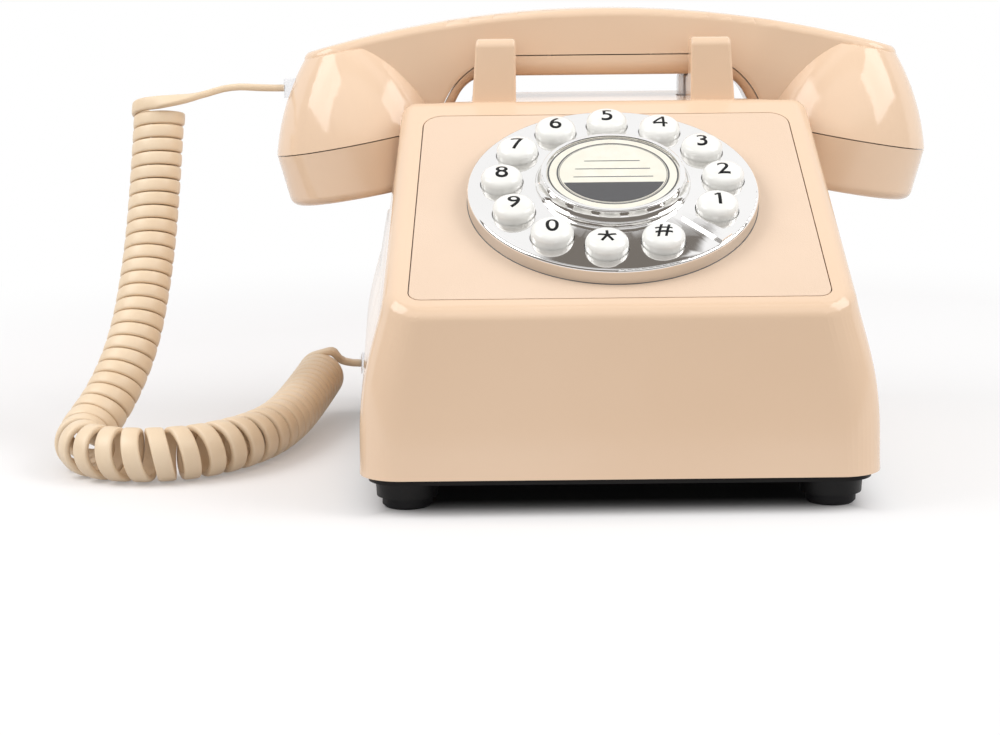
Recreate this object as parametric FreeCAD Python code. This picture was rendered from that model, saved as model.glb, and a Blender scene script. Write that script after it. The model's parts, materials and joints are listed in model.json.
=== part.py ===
import FreeCAD, Part
import bisect
import math
import os
from FreeCAD import Placement, Rotation, Vector

# A corded desk telephone: push-button dial, handset resting on a cradle, curly cord.
# Millimetres, X to the right, Y to the back, Z up. The feet stand on Z = 0.

# Housing
housing_depth = 188.0
front_half_width = 78.5
side_widening = 0.048
side_lean = 0.1485
front_lean = 0.055
housing_bottom = 11.5
lip_height = 62.3
deck_height = 117.0
panel_reach_share = 0.5686
wall = 2.5
rim_radius = 5.5
corner_radius = 13.0
crest_radius = 12.0
rear_radius = 8.0

# Face panel
panel_thickness = 2.5
panel_front_margin = 5.9
panel_back_margin = 8.4
panel_side_margin = 7.3
panel_front_corner_radius = 4.0
panel_back_corner_radius = 7.0
panel_gap = 0.35

# Recesses for the handset's cups, beside the cradle
cradle_set_back = 31.3
deck_margin = 8.0
neck_half_width = 45.5
wing_height = 74.0
recess_front = 2.3
recess_corner_radius = 14.0
recess_floor_radius = 10.0
recess_edge_radius = 1.5

# Cradle horns
horn_half_gap = 29.8
horn_width = 15.0
horn_taper = 1.5
horn_height = 21.0
horn_thickness = 9.0
horn_reach = 26.0
horn_root = 1.0
horn_tip_radius = 3.0
horn_edge_radius = 1.2
seat_rise = 7.4
seat_half_depth = 13.0

# Dial
dial_share = 0.4905
bezel_radius = 46.0
bezel_rim_height = 5.2
bezel_crown = 1.9
bezel_wall = 2.0
bezel_edge_radius = 0.9
panel_hole_radius = 43.0
button_count = 12
button_circle = 35.0
button_radius = 6.6
button_step = 28.97
button_five_angle = 90.7
button_five_index = 4
button_rise = 4.6
button_edge_radius = 2.2
button_crown = 0.8
button_clearance = 0.3
button_flange = 1.4
button_flange_height = 1.5
button_travel = 2.0
button_stem_radius = 3.0
hub_radius = 24.5
hub_foot = 1.0
hub_foot_round = 0.7
hub_cove = 0.25
hub_height = 4.45
hub_waist = 1.7
hub_rim = 1.6
hub_rim_round = 0.6
card_thickness = 0.3
lens_thickness = 0.8
card_clearance = 0.2
stop_angle = 318.0
stop_inner = 28.0
stop_outer = 45.0
stop_inner_width = 2.6
stop_outer_width = 5.0
stop_tip_radius = 1.0
stop_thickness = 0.9

# Keypad under the dial
mat_thickness = 1.2
mat_pad_height = 1.0
mat_pad_radius = 4.6
mat_pad_draft = 0.6
mat_radius = 42.0
circuit_thickness = 1.6
post_circle = 20.0
post_radius = 2.6
post_count = 4
fit_gap = 0.3

# Screws, the same pattern in all the bosses
screw_radius = 1.2
screw_head_radius = 2.4
screw_head_height = 1.6
screw_depth = 5.0
screw_slack = 0.05
screw_tip_gap = 1.0

# Base plate and feet
plate_thickness = 3.0
plate_drop = 2.0
plate_clearance = 0.4
front_foot_x = 65.0
rear_foot_x = 72.0
front_foot_inset = 18.0
rear_foot_inset = 20.0
foot_radius = 7.7
foot_edge = 0.8
foot_height = 3.5
foot_spigot_radius = 5.0
foot_spigot_height = 2.5
foot_boss_radius = 9.4
foot_boss_draft = 0.4
base_screw_x = 48.0
front_screw_inset = 20.0
rear_screw_inset = 22.0
base_boss_radius = 4.0

# Things that stand on the base plate
board_width = 96.0
board_depth = 62.0
board_gap = 5.0
board_stand = 7.0
board_hole_inset = 5.0
speaker_x = -36.0
front_row_inset = 48.0
speaker_radius = 24.0
speaker_magnet_radius = 14.0
speaker_rim_height = 5.0
speaker_height = 14.0
slot_count = 5
slot_step = 7.0
slot_width = 2.5
slot_length = 26.0
weight_x = 34.0
weight_width = 56.0
weight_depth = 42.0
weight_height = 8.0
switch_inset = 28.0
switch_width = 18.0
switch_depth = 9.0
switch_height = 6.5
switch_wall = 1.2
knob_width = 4.0
knob_depth = 4.0
knob_height = 5.6
knob_flange = 1.0
knob_flange_height = 1.5
knob_travel = 5.0

# Jacks and plugs
line_jack_x = 26.0
line_jack_width = 15.0
line_jack_depth = 17.0
line_jack_height = 14.0
line_socket_width = 9.8
line_socket_depth = 11.0
line_socket_height = 7.0
line_latch_width = 4.2
line_latch_depth = 11.0
line_latch_height = 2.4
plug_length = 11.5
plug_width = 7.6
plug_height = 6.5
plug_clearance = 0.2
plug_proud = 2.4
base_jack_inset = 25.5
base_jack_width = 16.0
base_jack_depth = 12.0
base_jack_height = 11.0
handset_jack_width = 17.0
handset_jack_depth = 12.0
handset_jack_height = 10.0
handset_jack_drop = 3.8
jack_seat_gap = 0.15

# Hook switch
plunger_half = 4.5
plunger_x = 31.8
plunger_clearance = 0.4
plunger_travel = 5.0
plunger_round = 1.0
plunger_stop_gap = 0.5
flange_half = 6.0
flange_height = 2.0
plunger_stem_radius = 3.0
plunger_stem_below = 1.0
bracket_half_x = 9.0
bracket_half_y = 10.0
bracket_sheet = 2.0
bracket_boss_length = 8.0
bracket_boss_radius = 3.5
bracket_boss_root = 0.5
bracket_ear = 9.0
bracket_depth = 20.0
spring_wire = 0.9
spring_radius = 4.6
spring_turns = 6
spring_seat_gap = 0.2
hook_switch_width = 8.0
hook_switch_depth = 12.0
hook_switch_height = 10.0
hook_switch_gap = 1.0
hook_leaf_width = 7.0
hook_leaf_depth = 4.0
hook_leaf_height = 0.6

# Handset
handset_length = 228.8
handset_gap = 0.3
grip_height = 23.1
grip_depth = 24.0
crown_radius = 370.0
grip_end_inset = 10.4
grip_top_radius = 3.0
grip_under_radius = 5.0
grip_waist_slope = 0.5
grip_corner_start = 38.9
grip_corner_radius = 12.3
grip_corner_turn = 63.0
neck_length = 13.0
cup_radius = 30.5
cup_tilt = 10.5
cup_seam_drop = 21.6
cup_depth = 18.8
cup_floor_radius = 29.2
cup_rim_radius = 3.5
cup_dish = 1.5
dome_shoulder_radius = 25.0
dome_shoulder_height = 14.4
dome_top_radius = 14.0
dome_top_height = 30.9
dome_height = 32.4
shell_wall = 2.5
seam_height = 7.3
seam_corner_start = 30.0
seam_corner_radius = 27.0
seam_corner_turn = 62.6
seam_gap = 0.35
sound_hole_radius = 1.3
sound_hole_circle = 8.5
sound_hole_count = 6
capsule_radius = 18.0
capsule_height = 9.0
gasket_radius = 19.0
gasket_bore = 13.0
gasket_height = 1.5
mic_radius = 5.0
mic_height = 6.5
boot_radius = 9.0
boot_height = 7.5
boot_floor = 1.0
handset_screw_x = 22.0
handset_boss_radius = 3.4
handset_weight_width = 34.0
handset_weight_depth = 13.0
handset_weight_height = 10.0

# Curly cord: where its axis lies, and how its turns are spaced along it
cord_diameter = 3.9
cord_sides = 6
curl_radius = 7.05
curl_gap = 0.7
axis_step = 0.5
bend_share = 0.45
cord_axis = [
    Vector(-155.3, 44.5, 114.5), Vector(-156.6, 37.0, 88.0), Vector(-158.3, 24.5, 61.0),
    Vector(-161.5, 9.5, 37.0), Vector(-168.0, -4.0, 20.0), Vector(-175.0, -17.0, 10.5),
    Vector(-174.0, -31.0, 9.2), Vector(-164.0, -41.0, 9.2), Vector(-149.0, -45.0, 9.3),
    Vector(-133.0, -39.0, 9.2), Vector(-120.5, -24.0, 9.3), Vector(-113.5, -2.0, 9.2),
    Vector(-109.5, 30.0, 10.5), Vector(-106.0, 67.5, 14.0)]
curl_pitches = [(0.0, 4.9), (95.0, 4.9), (150.0, 7.4), (215.0, 7.4), (250.0, 4.8), (400.0, 4.8)]
lead_straight = 7.2
curl_straight = 5.0
handset_lead = [Vector(-130.0, 45.5, 121.9), Vector(-141.0, 41.0, 118.6)]

# Places worked out from the sizes above
front_y = -housing_depth / 2
rear_y = housing_depth / 2
far = 1.5 * housing_depth
touch = 0.01  # two places closer than this are the same
overshoot = 1.0  # how far a cut, or a joined root, runs past the face it meets
panel_reach = housing_depth * panel_reach_share
panel_rise = deck_height - lip_height
slope = math.atan2(panel_rise, panel_reach)
slope_length = math.hypot(panel_rise, panel_reach)
dial_up_slope = slope_length * dial_share
lip_y = front_y + front_lean * (lip_height - housing_bottom)
crest_y = lip_y + panel_reach
handset_y = crest_y + cradle_set_back
deck_rear_y = handset_y + horn_reach + deck_margin
deck_under = deck_height - wall
seat_z = deck_height + seat_rise
grip_z = seat_z + handset_gap
plate_bottom = housing_bottom - plate_drop
plate_top = plate_bottom + plate_thickness
front_row_y = front_y + front_row_inset
board_y = front_row_y + speaker_radius + board_gap + board_depth / 2
switch_y = rear_y - switch_inset
dial_y = lip_y + dial_up_slope * math.cos(slope)
dial_z = lip_height + dial_up_slope * math.sin(slope)
dial_place = Placement(Vector(0, dial_y, dial_z), Rotation(Vector(1, 0, 0), math.degrees(slope)))
handset_place = Placement(Vector(0, handset_y, grip_z), Rotation())
tilt = math.radians(cup_tilt)
cup_x = handset_length / 2 - cup_radius * math.cos(tilt)
weight_size = Vector(weight_width, weight_depth, weight_height)
switch_size = Vector(switch_width, switch_depth, switch_height)
knob_size = Vector(knob_width, knob_depth, knob_height)
line_jack_size = Vector(line_jack_width, line_jack_depth, line_jack_height)
line_socket = Vector(line_socket_width, line_socket_depth, line_socket_height)
line_latch = Vector(line_latch_width, line_latch_depth, line_latch_height)
base_jack_size = Vector(base_jack_width, base_jack_depth, base_jack_height)
handset_jack_size = Vector(handset_jack_width, handset_jack_depth, handset_jack_height)
hook_switch_size = Vector(hook_switch_width, hook_switch_depth, hook_switch_height)
hook_leaf = Vector(hook_leaf_width, hook_leaf_depth, hook_leaf_height)
handset_weight_size = Vector(handset_weight_width, handset_weight_depth, handset_weight_height)
plug_size = Vector(plug_length, plug_width, plug_height)
screw_reach = screw_depth - screw_tip_gap
screw_bore = screw_radius + screw_slack

parts = {}


# Small helpers

def box(low, high):
    size = high - low
    return Part.makeBox(size.x, size.y, size.z, low)


def centred_box(size, centre):
    return box(centre - size * 0.5, centre + size * 0.5)


def cylinder(radius, low, high, centre=Vector()):
    return Part.makeCylinder(radius, high - low, Vector(centre.x, centre.y, low))


def mirrored(shape):
    return shape.mirror(Vector(), Vector(1, 0, 0))


def placed(shape, placement):
    moved = shape.copy()
    moved.Placement = placement.multiply(moved.Placement)
    return moved


def polygon_face(points):
    return Part.Face(Part.makePolygon(points + points[:1]))


def inset_corners(corners, insets):
    # Moves each side of a clockwise convex outline inwards by its own inset and meets the sides again.
    lines = []
    for i, start in enumerate(corners):
        along = (corners[(i + 1) % len(corners)] - start).normalize()
        lines.append((start + Vector(along.y, -along.x, 0) * insets[i], along))
    result = []
    for i, (point, along) in enumerate(lines):
        before, before_along = lines[i - 1]
        reach = (point - before).cross(along).z / before_along.cross(along).z
        result.append(before + before_along * reach)
    return result


def rounded_wire(corners, radii):
    # A closed outline with tangent arcs at the corners that have a radius.
    ends = []
    for i, corner in enumerate(corners):
        if radii[i] <= 0:
            ends.append((corner, None, corner))
            continue
        before = (corners[i - 1] - corner).normalize()
        after = (corners[(i + 1) % len(corners)] - corner).normalize()
        half = before.getAngle(after) / 2
        reach = radii[i] / math.tan(half)
        depth = radii[i] / math.sin(half) - radii[i]
        nearest = corner + (before + after).normalize() * depth
        ends.append((corner + before * reach, nearest, corner + after * reach))
    edges = []
    for i, (start, nearest, end) in enumerate(ends):
        if nearest is not None:
            edges.append(Part.Arc(start, nearest, end).toShape())
        edges.append(Part.makeLine(end, ends[(i + 1) % len(ends)][0]))
    return Part.Wire(edges)


def extruded_along_x(wire, low, high):
    # The wire lies in local (x, y), which become world (y, z).
    solid = Part.Face(wire).extrude(Vector(0, 0, high - low))
    solid.Placement = Placement(Vector(low, 0, 0), Rotation(Vector(1, 1, 1), 120))
    return solid


def extruded_along_y(wire, low, high):
    # The wire lies in local (x, y), which become world (x, z).
    solid = Part.Face(wire).extrude(Vector(0, 0, high - low))
    solid.Placement = Placement(Vector(0, high, 0), Rotation(Vector(1, 0, 0), 90))
    return solid


def screw(length):
    # Points up from its head's seat at the origin.
    head = cylinder(screw_head_radius, -screw_head_height, 0)
    return head.fuse(cylinder(screw_radius, 0, length)).removeSplitter()


def group(shapes):
    return Part.makeCompound(shapes)


def screws_at(places, seat, length):
    return group([placed(screw(length), Placement(Vector(p.x, p.y, seat), Rotation())) for p in places])


# Housing

def half_width(y, z):
    return front_half_width - side_lean * (z - housing_bottom) + side_widening * (y - front_y)


def side_shift(inset):
    return inset * math.sqrt(1 + side_lean ** 2 + side_widening ** 2)


def wall_block(inset):
    # A block between the leaning front and sides, with the front's upright corners rounded.
    rings = []
    for z in (-far, far):
        near_y = front_y + front_lean * (z - housing_bottom) + inset * math.hypot(1, front_lean)
        near_half = half_width(near_y, z) - side_shift(inset)
        far_half = half_width(far, z) - side_shift(inset)
        rings.append([Vector(-near_half, near_y, z), Vector(near_half, near_y, z),
                      Vector(far_half, far, z), Vector(-far_half, far, z)])
    low, high = rings
    faces = [polygon_face(low[::-1]), polygon_face(high)]
    for i in range(4):
        j = (i + 1) % 4
        faces.append(polygon_face([low[i], low[j], high[j], high[i]]))
    solid = Part.Solid(Part.Shell(faces))
    upright = [e for e in solid.Edges if e.BoundBox.ZLength > far and e.BoundBox.YMax < 0]
    return solid.makeFillet(corner_radius - inset, upright)


def lies_on(face, shell):
    low_u, high_u, low_v, high_v = face.ParameterRange
    point = face.valueAt((low_u + high_u) / 2, (low_v + high_v) / 2)
    return shell.distToShape(Part.Vertex(point))[0] < touch


def housing_form(inset, slope_inset, bottom_inset):
    # The side profile, cut out of the block of walls, with one round along the whole upper rim.
    foot_y = lip_y - (lip_height - housing_bottom) / math.tan(slope)
    corners = [Vector(foot_y, housing_bottom, 0), Vector(crest_y, deck_height, 0),
               Vector(deck_rear_y, deck_height, 0), Vector(rear_y, housing_bottom, 0)]
    corners = inset_corners(corners, [slope_inset, inset, inset, bottom_inset])
    radii = [0, crest_radius - inset, rear_radius - inset, 0]
    block = wall_block(inset)
    form = extruded_along_x(rounded_wire(corners, radii), -far, far).common(block)
    floor = housing_bottom + bottom_inset
    rim = []
    for edge in form.Edges:
        middle = edge.valueAt((edge.FirstParameter + edge.LastParameter) / 2)
        walls = [f for f in form.ancestorsOfType(edge, Part.Face) if lies_on(f, block.Shells[0])]
        if len(walls) == 1 and middle.z > floor + touch:
            rim.append(edge)
    return form.makeFillet(rim_radius - inset, rim)


def cup_recess(grow):
    corner = Vector(neck_half_width - grow, crest_y + recess_front - grow, wing_height - grow)
    tool = box(corner, Vector(far, far, far))
    upright = [e for e in tool.Edges
               if is_along_z(e) and (e.CenterOfMass - corner).dot(Vector(1, 1, 0)) < touch]
    tool = tool.makeFillet(recess_corner_radius + grow, upright)
    floor = [e for e in tool.Edges if abs(e.BoundBox.ZMax - corner.z) < touch and
             (e.BoundBox.XMin < corner.x + touch or e.BoundBox.YMin < corner.y + touch) and
             e.BoundBox.XMin < far - touch and e.BoundBox.YMin < far - touch]
    return tool.makeFillet(recess_floor_radius + grow, floor)


def is_along_z(edge):
    size = edge.BoundBox
    return size.ZLength > touch and size.XLength < touch and size.YLength < touch


def with_recesses(form, grow):
    recess = cup_recess(grow)
    return form.cut([recess, mirrored(recess)])


def recess_rims(form):
    # The edges where the recesses meet the outer faces.
    sharp = []
    front = crest_y + recess_front
    for edge in form.Edges:
        middle = edge.valueAt((edge.FirstParameter + edge.LastParameter) / 2)
        on_neck = abs(abs(middle.x) - neck_half_width) < touch and middle.y > front + recess_corner_radius
        on_wall = abs(middle.y - front) < touch
        on_floor = abs(middle.z - wing_height) < touch
        if len(form.ancestorsOfType(edge, Part.Face)) == 2 and (on_neck or on_wall or on_floor):
            sharp.append(edge)
    return sharp


def panel_outline(gap):
    corners = []
    for v in (panel_front_margin - dial_up_slope, slope_length - panel_back_margin - dial_up_slope):
        place = dial_place.multVec(Vector(0, v, 0))
        corners.append((half_width(place.y, place.z) - panel_side_margin, v))
    (front_half, front_v), (back_half, back_v) = corners
    outline = [Vector(-front_half, front_v, 0), Vector(-back_half, back_v, 0),
               Vector(back_half, back_v, 0), Vector(front_half, front_v, 0)]
    front_radius, back_radius = panel_front_corner_radius - gap, panel_back_corner_radius - gap
    radii = [front_radius, back_radius, back_radius, front_radius]
    return rounded_wire(inset_corners(outline, [gap] * 4), radii)


def on_panel(wire, low, high):
    solid = Part.Face(wire).extrude(Vector(0, 0, high - low))
    solid.translate(Vector(0, 0, low))
    return placed(solid, dial_place)


def horn():
    # The right horn pair with its seat, as one upright yoke.
    top = deck_height + horn_height
    root = deck_height - horn_root
    inner = horn_reach - horn_thickness
    outline = [(-horn_reach, root), (-horn_reach, top), (-inner, top), (-seat_half_depth, seat_z),
               (seat_half_depth, seat_z), (inner, top), (horn_reach, top), (horn_reach, root)]
    corners = [Vector(handset_y + y, z, 0) for y, z in outline]
    radii = [0, horn_tip_radius, horn_tip_radius, horn_tip_radius,
             horn_tip_radius, horn_tip_radius, horn_tip_radius, 0]
    low, high = horn_half_gap, horn_half_gap + horn_width
    yoke = extruded_along_x(rounded_wire(corners, radii), low, high)
    narrow, outside = high - horn_taper, high + overshoot
    taper = [Vector(high, deck_height, 0), Vector(narrow, top, 0), Vector(narrow, far, 0),
             Vector(outside, far, 0), Vector(outside, deck_height, 0)]
    yoke = yoke.cut(extruded_along_y(Part.makePolygon(taper + taper[:1]), -far, far))
    rims = [e for e in yoke.Edges
            if e.BoundBox.ZMax > deck_height + touch and e.BoundBox.XLength < horn_taper + touch]
    return yoke.makeFillet(horn_edge_radius, rims).cut(saddle(outside))


def saddle(outer_x):
    # What the handset's inner corner takes off the outer end of the seat.
    radius = grip_corner_radius - handset_gap
    centre = Vector(grip_corner_start, grip_z - grip_corner_radius, 0)
    turn = math.asin((outer_x - grip_corner_start) / radius)
    start = centre + Vector(0, radius, 0)
    middle = centre + Vector(math.sin(turn / 2), math.cos(turn / 2), 0) * radius
    end = centre + Vector(math.sin(turn), math.cos(turn), 0) * radius
    roof = [Vector(outer_x, far, 0), Vector(grip_corner_start, far, 0)]
    edges = [Part.Arc(start, middle, end).toShape(), Part.makeLine(end, roof[0]),
             Part.makeLine(roof[0], roof[1]), Part.makeLine(roof[1], start)]
    return extruded_along_y(Part.Wire(edges), handset_y - seat_half_depth, handset_y + seat_half_depth)


def plunger_hole():
    half = plunger_half + plunger_clearance
    return box(Vector(plunger_x - half, handset_y - half, deck_under - overshoot),
               Vector(plunger_x + half, handset_y + half, seat_z + overshoot))


def base_screw_places():
    rows = [front_y + front_screw_inset, rear_y - rear_screw_inset]
    return [Vector(side * base_screw_x, y, plate_top) for side in (-1, 1) for y in rows]


def bracket_screw_places():
    reach = bracket_half_y + bracket_ear / 2
    return [Vector(plunger_x, handset_y + side * reach, deck_under - bracket_boss_length) for side in (-1, 1)]


def upper_housing():
    outer = with_recesses(housing_form(0, 0, 0), 0)
    outer = outer.makeFillet(recess_edge_radius, recess_rims(outer))
    inner = with_recesses(housing_form(wall, wall + panel_thickness, -wall), wall)
    shell = outer.cut(inner)
    yoke = horn()
    extras = [yoke, mirrored(yoke)]
    holes = [plunger_hole(), line_jack_opening(), base_jack_opening()]
    for place in base_screw_places():
        extras.append(cylinder(base_boss_radius, plate_top, far, place).common(outer))
        holes.append(cylinder(screw_bore, plate_top - overshoot, plate_top + screw_depth, place))
    for place in bracket_screw_places():
        extras.append(cylinder(bracket_boss_radius, place.z, deck_under + bracket_boss_root, place))
        holes.append(cylinder(screw_bore, place.z - overshoot, place.z + screw_depth, place))
    holes.append(on_panel(panel_outline(0), -panel_thickness, far))
    opening = Part.Wire(Part.makeCircle(panel_hole_radius))
    holes.append(on_panel(opening, -2 * (wall + panel_thickness), far))
    return shell.fuse(extras).cut(holes).removeSplitter()


def face_panel():
    opening = on_panel(Part.Wire(Part.makeCircle(panel_hole_radius)), -far, far)
    return on_panel(panel_outline(panel_gap), -panel_thickness, 0).cut(opening)


# Dial

def button_places():
    angles = [button_five_angle + (i - button_five_index) * button_step for i in range(button_count)]
    return [Vector(button_circle * math.cos(math.radians(a)), button_circle * math.sin(math.radians(a)), 0)
            for a in angles]


def post_places():
    angles = [2 * math.pi * (i + 0.5) / post_count for i in range(post_count)]
    return [Vector(post_circle * math.cos(a), post_circle * math.sin(a), 0) for a in angles]


def revolved(points):
    # Points are (radius, height); a third entry marks a point passed by an arc.
    edges = []
    i = 0
    while i < len(points) - 1:
        start = Vector(points[i][0], 0, points[i][1])
        following = points[i + 1]
        if len(following) == 3:
            end = points[i + 2]
            middle = Vector(following[0], 0, following[1])
            edges.append(Part.Arc(start, middle, Vector(end[0], 0, end[1])).toShape())
            i += 2
        else:
            edges.append(Part.makeLine(start, Vector(following[0], 0, following[1])))
            i += 1
    first = Vector(points[0][0], 0, points[0][1])
    last = Vector(points[-1][0], 0, points[-1][1])
    if (first - last).Length > touch:
        edges.append(Part.makeLine(last, first))
    return Part.Face(Part.Wire(edges)).revolve(Vector(), Vector(0, 0, 1), 360)


def cap_point(radius, edge_height, centre_height):
    # Halfway along a cap's arc, whose centre is on the axis.
    sag = centre_height - edge_height
    ball = (radius ** 2 + sag ** 2) / (2 * sag)
    height = centre_height - ball + math.copysign(math.sqrt(ball ** 2 - radius ** 2 / 4), ball)
    return (radius / 2, height, "arc")


def bezel_top(radius):
    # The bezel's crowned top is part of a ball.
    ball = (bezel_radius ** 2 + bezel_crown ** 2) / (2 * bezel_crown)
    return bezel_rim_height + bezel_crown - ball + math.sqrt(ball ** 2 - radius ** 2)


def crown_points(inner, outer, rise):
    # A line of the profile along the crown, outwards, lifted by the rise.
    middle = (inner + outer) / 2
    return [(inner, bezel_top(inner) + rise), (middle, bezel_top(middle) + rise, "arc"),
            (outer, bezel_top(outer) + rise)]


def hub_seat():
    return bezel_top(hub_radius)


def bezel_under():
    return bezel_rim_height - bezel_wall


def dial_bezel():
    inner = bezel_radius - bezel_wall
    under = bezel_under()
    edge = bezel_edge_radius
    diagonal = edge * (1 - math.sqrt(0.5))
    crown = crown_points(hub_radius, bezel_radius - edge, 0)
    rim = [(bezel_radius - diagonal, bezel_rim_height - diagonal, "arc"),
           (bezel_radius, bezel_rim_height - edge)]
    skirt = [(bezel_radius, 0), (inner, 0), (inner, under)]
    bezel = revolved([(0, under), (0, hub_seat())] + crown + rim + skirt)
    posts = [cylinder(post_radius, mat_top() - mat_thickness, under, place) for place in post_places()]
    holes = [cylinder(button_radius + button_clearance, 0, far, place) for place in button_places()]
    for place in post_places():
        low = mat_top() - mat_thickness
        holes.append(cylinder(screw_bore, low - overshoot, low + screw_depth, place))
    return bezel.fuse(posts).cut(holes).removeSplitter()


def flange_top():
    return bezel_under() - fit_gap


def stem_bottom():
    return flange_top() - button_flange_height - button_travel - fit_gap


def mat_top():
    # The pads wait one travel and a gap below the stems.
    return stem_bottom() - button_travel - fit_gap - mat_pad_height


def button():
    top = bezel_top(button_circle) + button_rise
    edge = button_edge_radius
    diagonal = edge * (1 - math.sqrt(0.5))
    shoulder = top - button_crown
    outer = button_radius + button_flange
    low = flange_top() - button_flange_height
    return revolved([(0, stem_bottom()), (button_stem_radius, stem_bottom()), (button_stem_radius, low),
                     (outer, low), (outer, flange_top()), (button_radius, flange_top()),
                     (button_radius, shoulder - edge),
                     (button_radius - diagonal, shoulder - diagonal, "arc"), (button_radius - edge, shoulder),
                     cap_point(button_radius - edge, shoulder, top), (0, top)])


def hub_top():
    return hub_seat() + hub_height


def card_seat():
    return hub_top() - lens_thickness - card_thickness


def card_radius():
    return hub_radius - hub_waist - hub_rim - card_clearance


def dial_hub():
    waist = hub_radius - hub_waist
    bore = waist - hub_rim
    foot = hub_seat() + hub_foot
    step = hub_radius - hub_foot_round
    neck = hub_top() - hub_foot
    diagonal = 1 - math.sqrt(0.5)
    toe = (hub_radius - hub_foot_round * diagonal, foot - hub_foot_round * diagonal, "arc")
    cove = ((step + waist) / 2 - hub_cove, (foot + neck) / 2 - hub_cove, "arc")
    lip = (waist - hub_rim_round * diagonal, hub_top() - hub_rim_round * diagonal, "arc")
    return revolved([(0, hub_seat()), (hub_radius, hub_seat()), (hub_radius, foot - hub_foot_round), toe,
                     (step, foot), cove, (waist, neck), (waist, hub_top() - hub_rim_round), lip,
                     (waist - hub_rim_round, hub_top()), (bore, hub_top()), (bore, card_seat()),
                     (0, card_seat())])


def dial_card():
    return cylinder(card_radius(), card_seat(), card_seat() + card_thickness)


def dial_lens():
    return cylinder(card_radius(), card_seat() + card_thickness, hub_top())


def finger_stop():
    # A tab that lies along the crown.
    low, high = stop_inner_width / 2, stop_outer_width / 2
    outline = [Vector(stop_inner, -low, 0), Vector(stop_inner, low, 0),
               Vector(stop_outer, high, 0), Vector(stop_outer, -high, 0)]
    wire = rounded_wire(outline, [stop_tip_radius, stop_tip_radius, 0, 0])
    tab = Part.Face(wire).extrude(Vector(0, 0, far))
    inner, outer = stop_inner - overshoot, stop_outer + bezel_edge_radius / 2
    layer = revolved(crown_points(inner, outer, 0) + crown_points(inner, outer, stop_thickness)[::-1])
    return placed(tab.common(layer), Placement(Vector(), Rotation(Vector(0, 0, 1), stop_angle)))


def keypad_mat():
    low = mat_top() - mat_thickness
    sheet = cylinder(mat_radius, low, mat_top())
    pads = [Part.makeCone(mat_pad_radius, mat_pad_radius - mat_pad_draft, mat_pad_height,
                          Vector(p.x, p.y, mat_top())) for p in button_places()]
    holes = [cylinder(post_radius + fit_gap, low - overshoot, mat_top() + overshoot, p)
             for p in post_places()]
    return sheet.fuse(pads).cut(holes).removeSplitter()


def keypad_board():
    top = mat_top() - mat_thickness
    holes = [cylinder(screw_bore, top - 2 * circuit_thickness, top, p) for p in post_places()]
    return cylinder(mat_radius, top - circuit_thickness, top).cut(holes)


def keypad_screws():
    low = mat_top() - mat_thickness - circuit_thickness
    return screws_at(post_places(), low, circuit_thickness + screw_reach)


def make_dial():
    names = ["1", "2", "3", "4", "5", "6", "7", "8", "9", "0", "star", "hash"]
    for name, place in zip(names, button_places()):
        parts["button_" + name] = placed(placed(button(), Placement(place, Rotation())), dial_place)
    for make in (dial_bezel, dial_hub, dial_card, dial_lens, finger_stop,
                 keypad_mat, keypad_board, keypad_screws):
        parts[make.__name__] = placed(make(), dial_place)


# Base plate and what stands on it

def foot_places():
    front = front_y + front_foot_inset
    rear = rear_y - rear_foot_inset
    return {"foot_front_left": Vector(-front_foot_x, front, 0),
            "foot_front_right": Vector(front_foot_x, front, 0),
            "foot_rear_left": Vector(-rear_foot_x, rear, 0),
            "foot_rear_right": Vector(rear_foot_x, rear, 0)}


def foot(place):
    top = foot_height + foot_spigot_height
    pad = revolved([(0, 0), (foot_radius - foot_edge, 0), (foot_radius, foot_edge),
                    (foot_radius, foot_height), (foot_spigot_radius, foot_height),
                    (foot_spigot_radius, top), (0, top)])
    return placed(pad, Placement(place, Rotation()))


def board_screw_places():
    x = board_width / 2 - board_hole_inset
    y = board_depth / 2 - board_hole_inset
    return [Vector(sx * x, board_y + sy * y, plate_top + board_stand) for sx in (-1, 1) for sy in (-1, 1)]


def slot(centre, length, width, low, high):
    # A slot with round ends, lying along X.
    reach = (length - width) / 2
    body = box(Vector(centre.x - reach, centre.y - width / 2, low),
               Vector(centre.x + reach, centre.y + width / 2, high))
    ends = [cylinder(width / 2, low, high, Vector(centre.x + side * reach, centre.y, 0)) for side in (-1, 1)]
    return body.fuse(ends).removeSplitter()


def base_plate():
    inset = wall + plate_clearance
    slab = housing_form(inset, inset, -far / 2)
    plate = slab.common(box(Vector(-far, -far, plate_bottom), Vector(far, far, plate_top)))
    extras, holes = [], []
    under, above = plate_bottom - overshoot, plate_top + overshoot
    for place in foot_places().values():
        top_radius = foot_boss_radius + foot_boss_draft
        extras.append(Part.makeCone(foot_boss_radius, top_radius, plate_bottom - foot_height,
                                    Vector(place.x, place.y, foot_height)))
        top = foot_height + foot_spigot_height + screw_slack
        holes.append(cylinder(foot_spigot_radius + screw_slack, foot_height - overshoot, top, place))
    for place in board_screw_places():
        extras.append(cylinder(base_boss_radius, plate_top - overshoot, place.z, place))
        holes.append(cylinder(screw_bore, place.z - screw_depth, place.z + overshoot, place))
    for place in base_screw_places():
        holes.append(cylinder(screw_bore, under, above, place))
        seat = plate_bottom + screw_head_height
        holes.append(cylinder(screw_head_radius + fit_gap, under, seat, place))
    for i in range(slot_count):
        y = front_row_y + (i - (slot_count - 1) / 2) * slot_step
        holes.append(slot(Vector(speaker_x, y, 0), slot_length, slot_width, under, above))
    room = knob_size + Vector(knob_travel + 2 * fit_gap, 2 * fit_gap, 2 * plate_thickness)
    holes.append(centred_box(room, Vector(0, switch_y, (plate_bottom + plate_top) / 2)))
    return plate.fuse(extras).cut(holes).removeSplitter()


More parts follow.
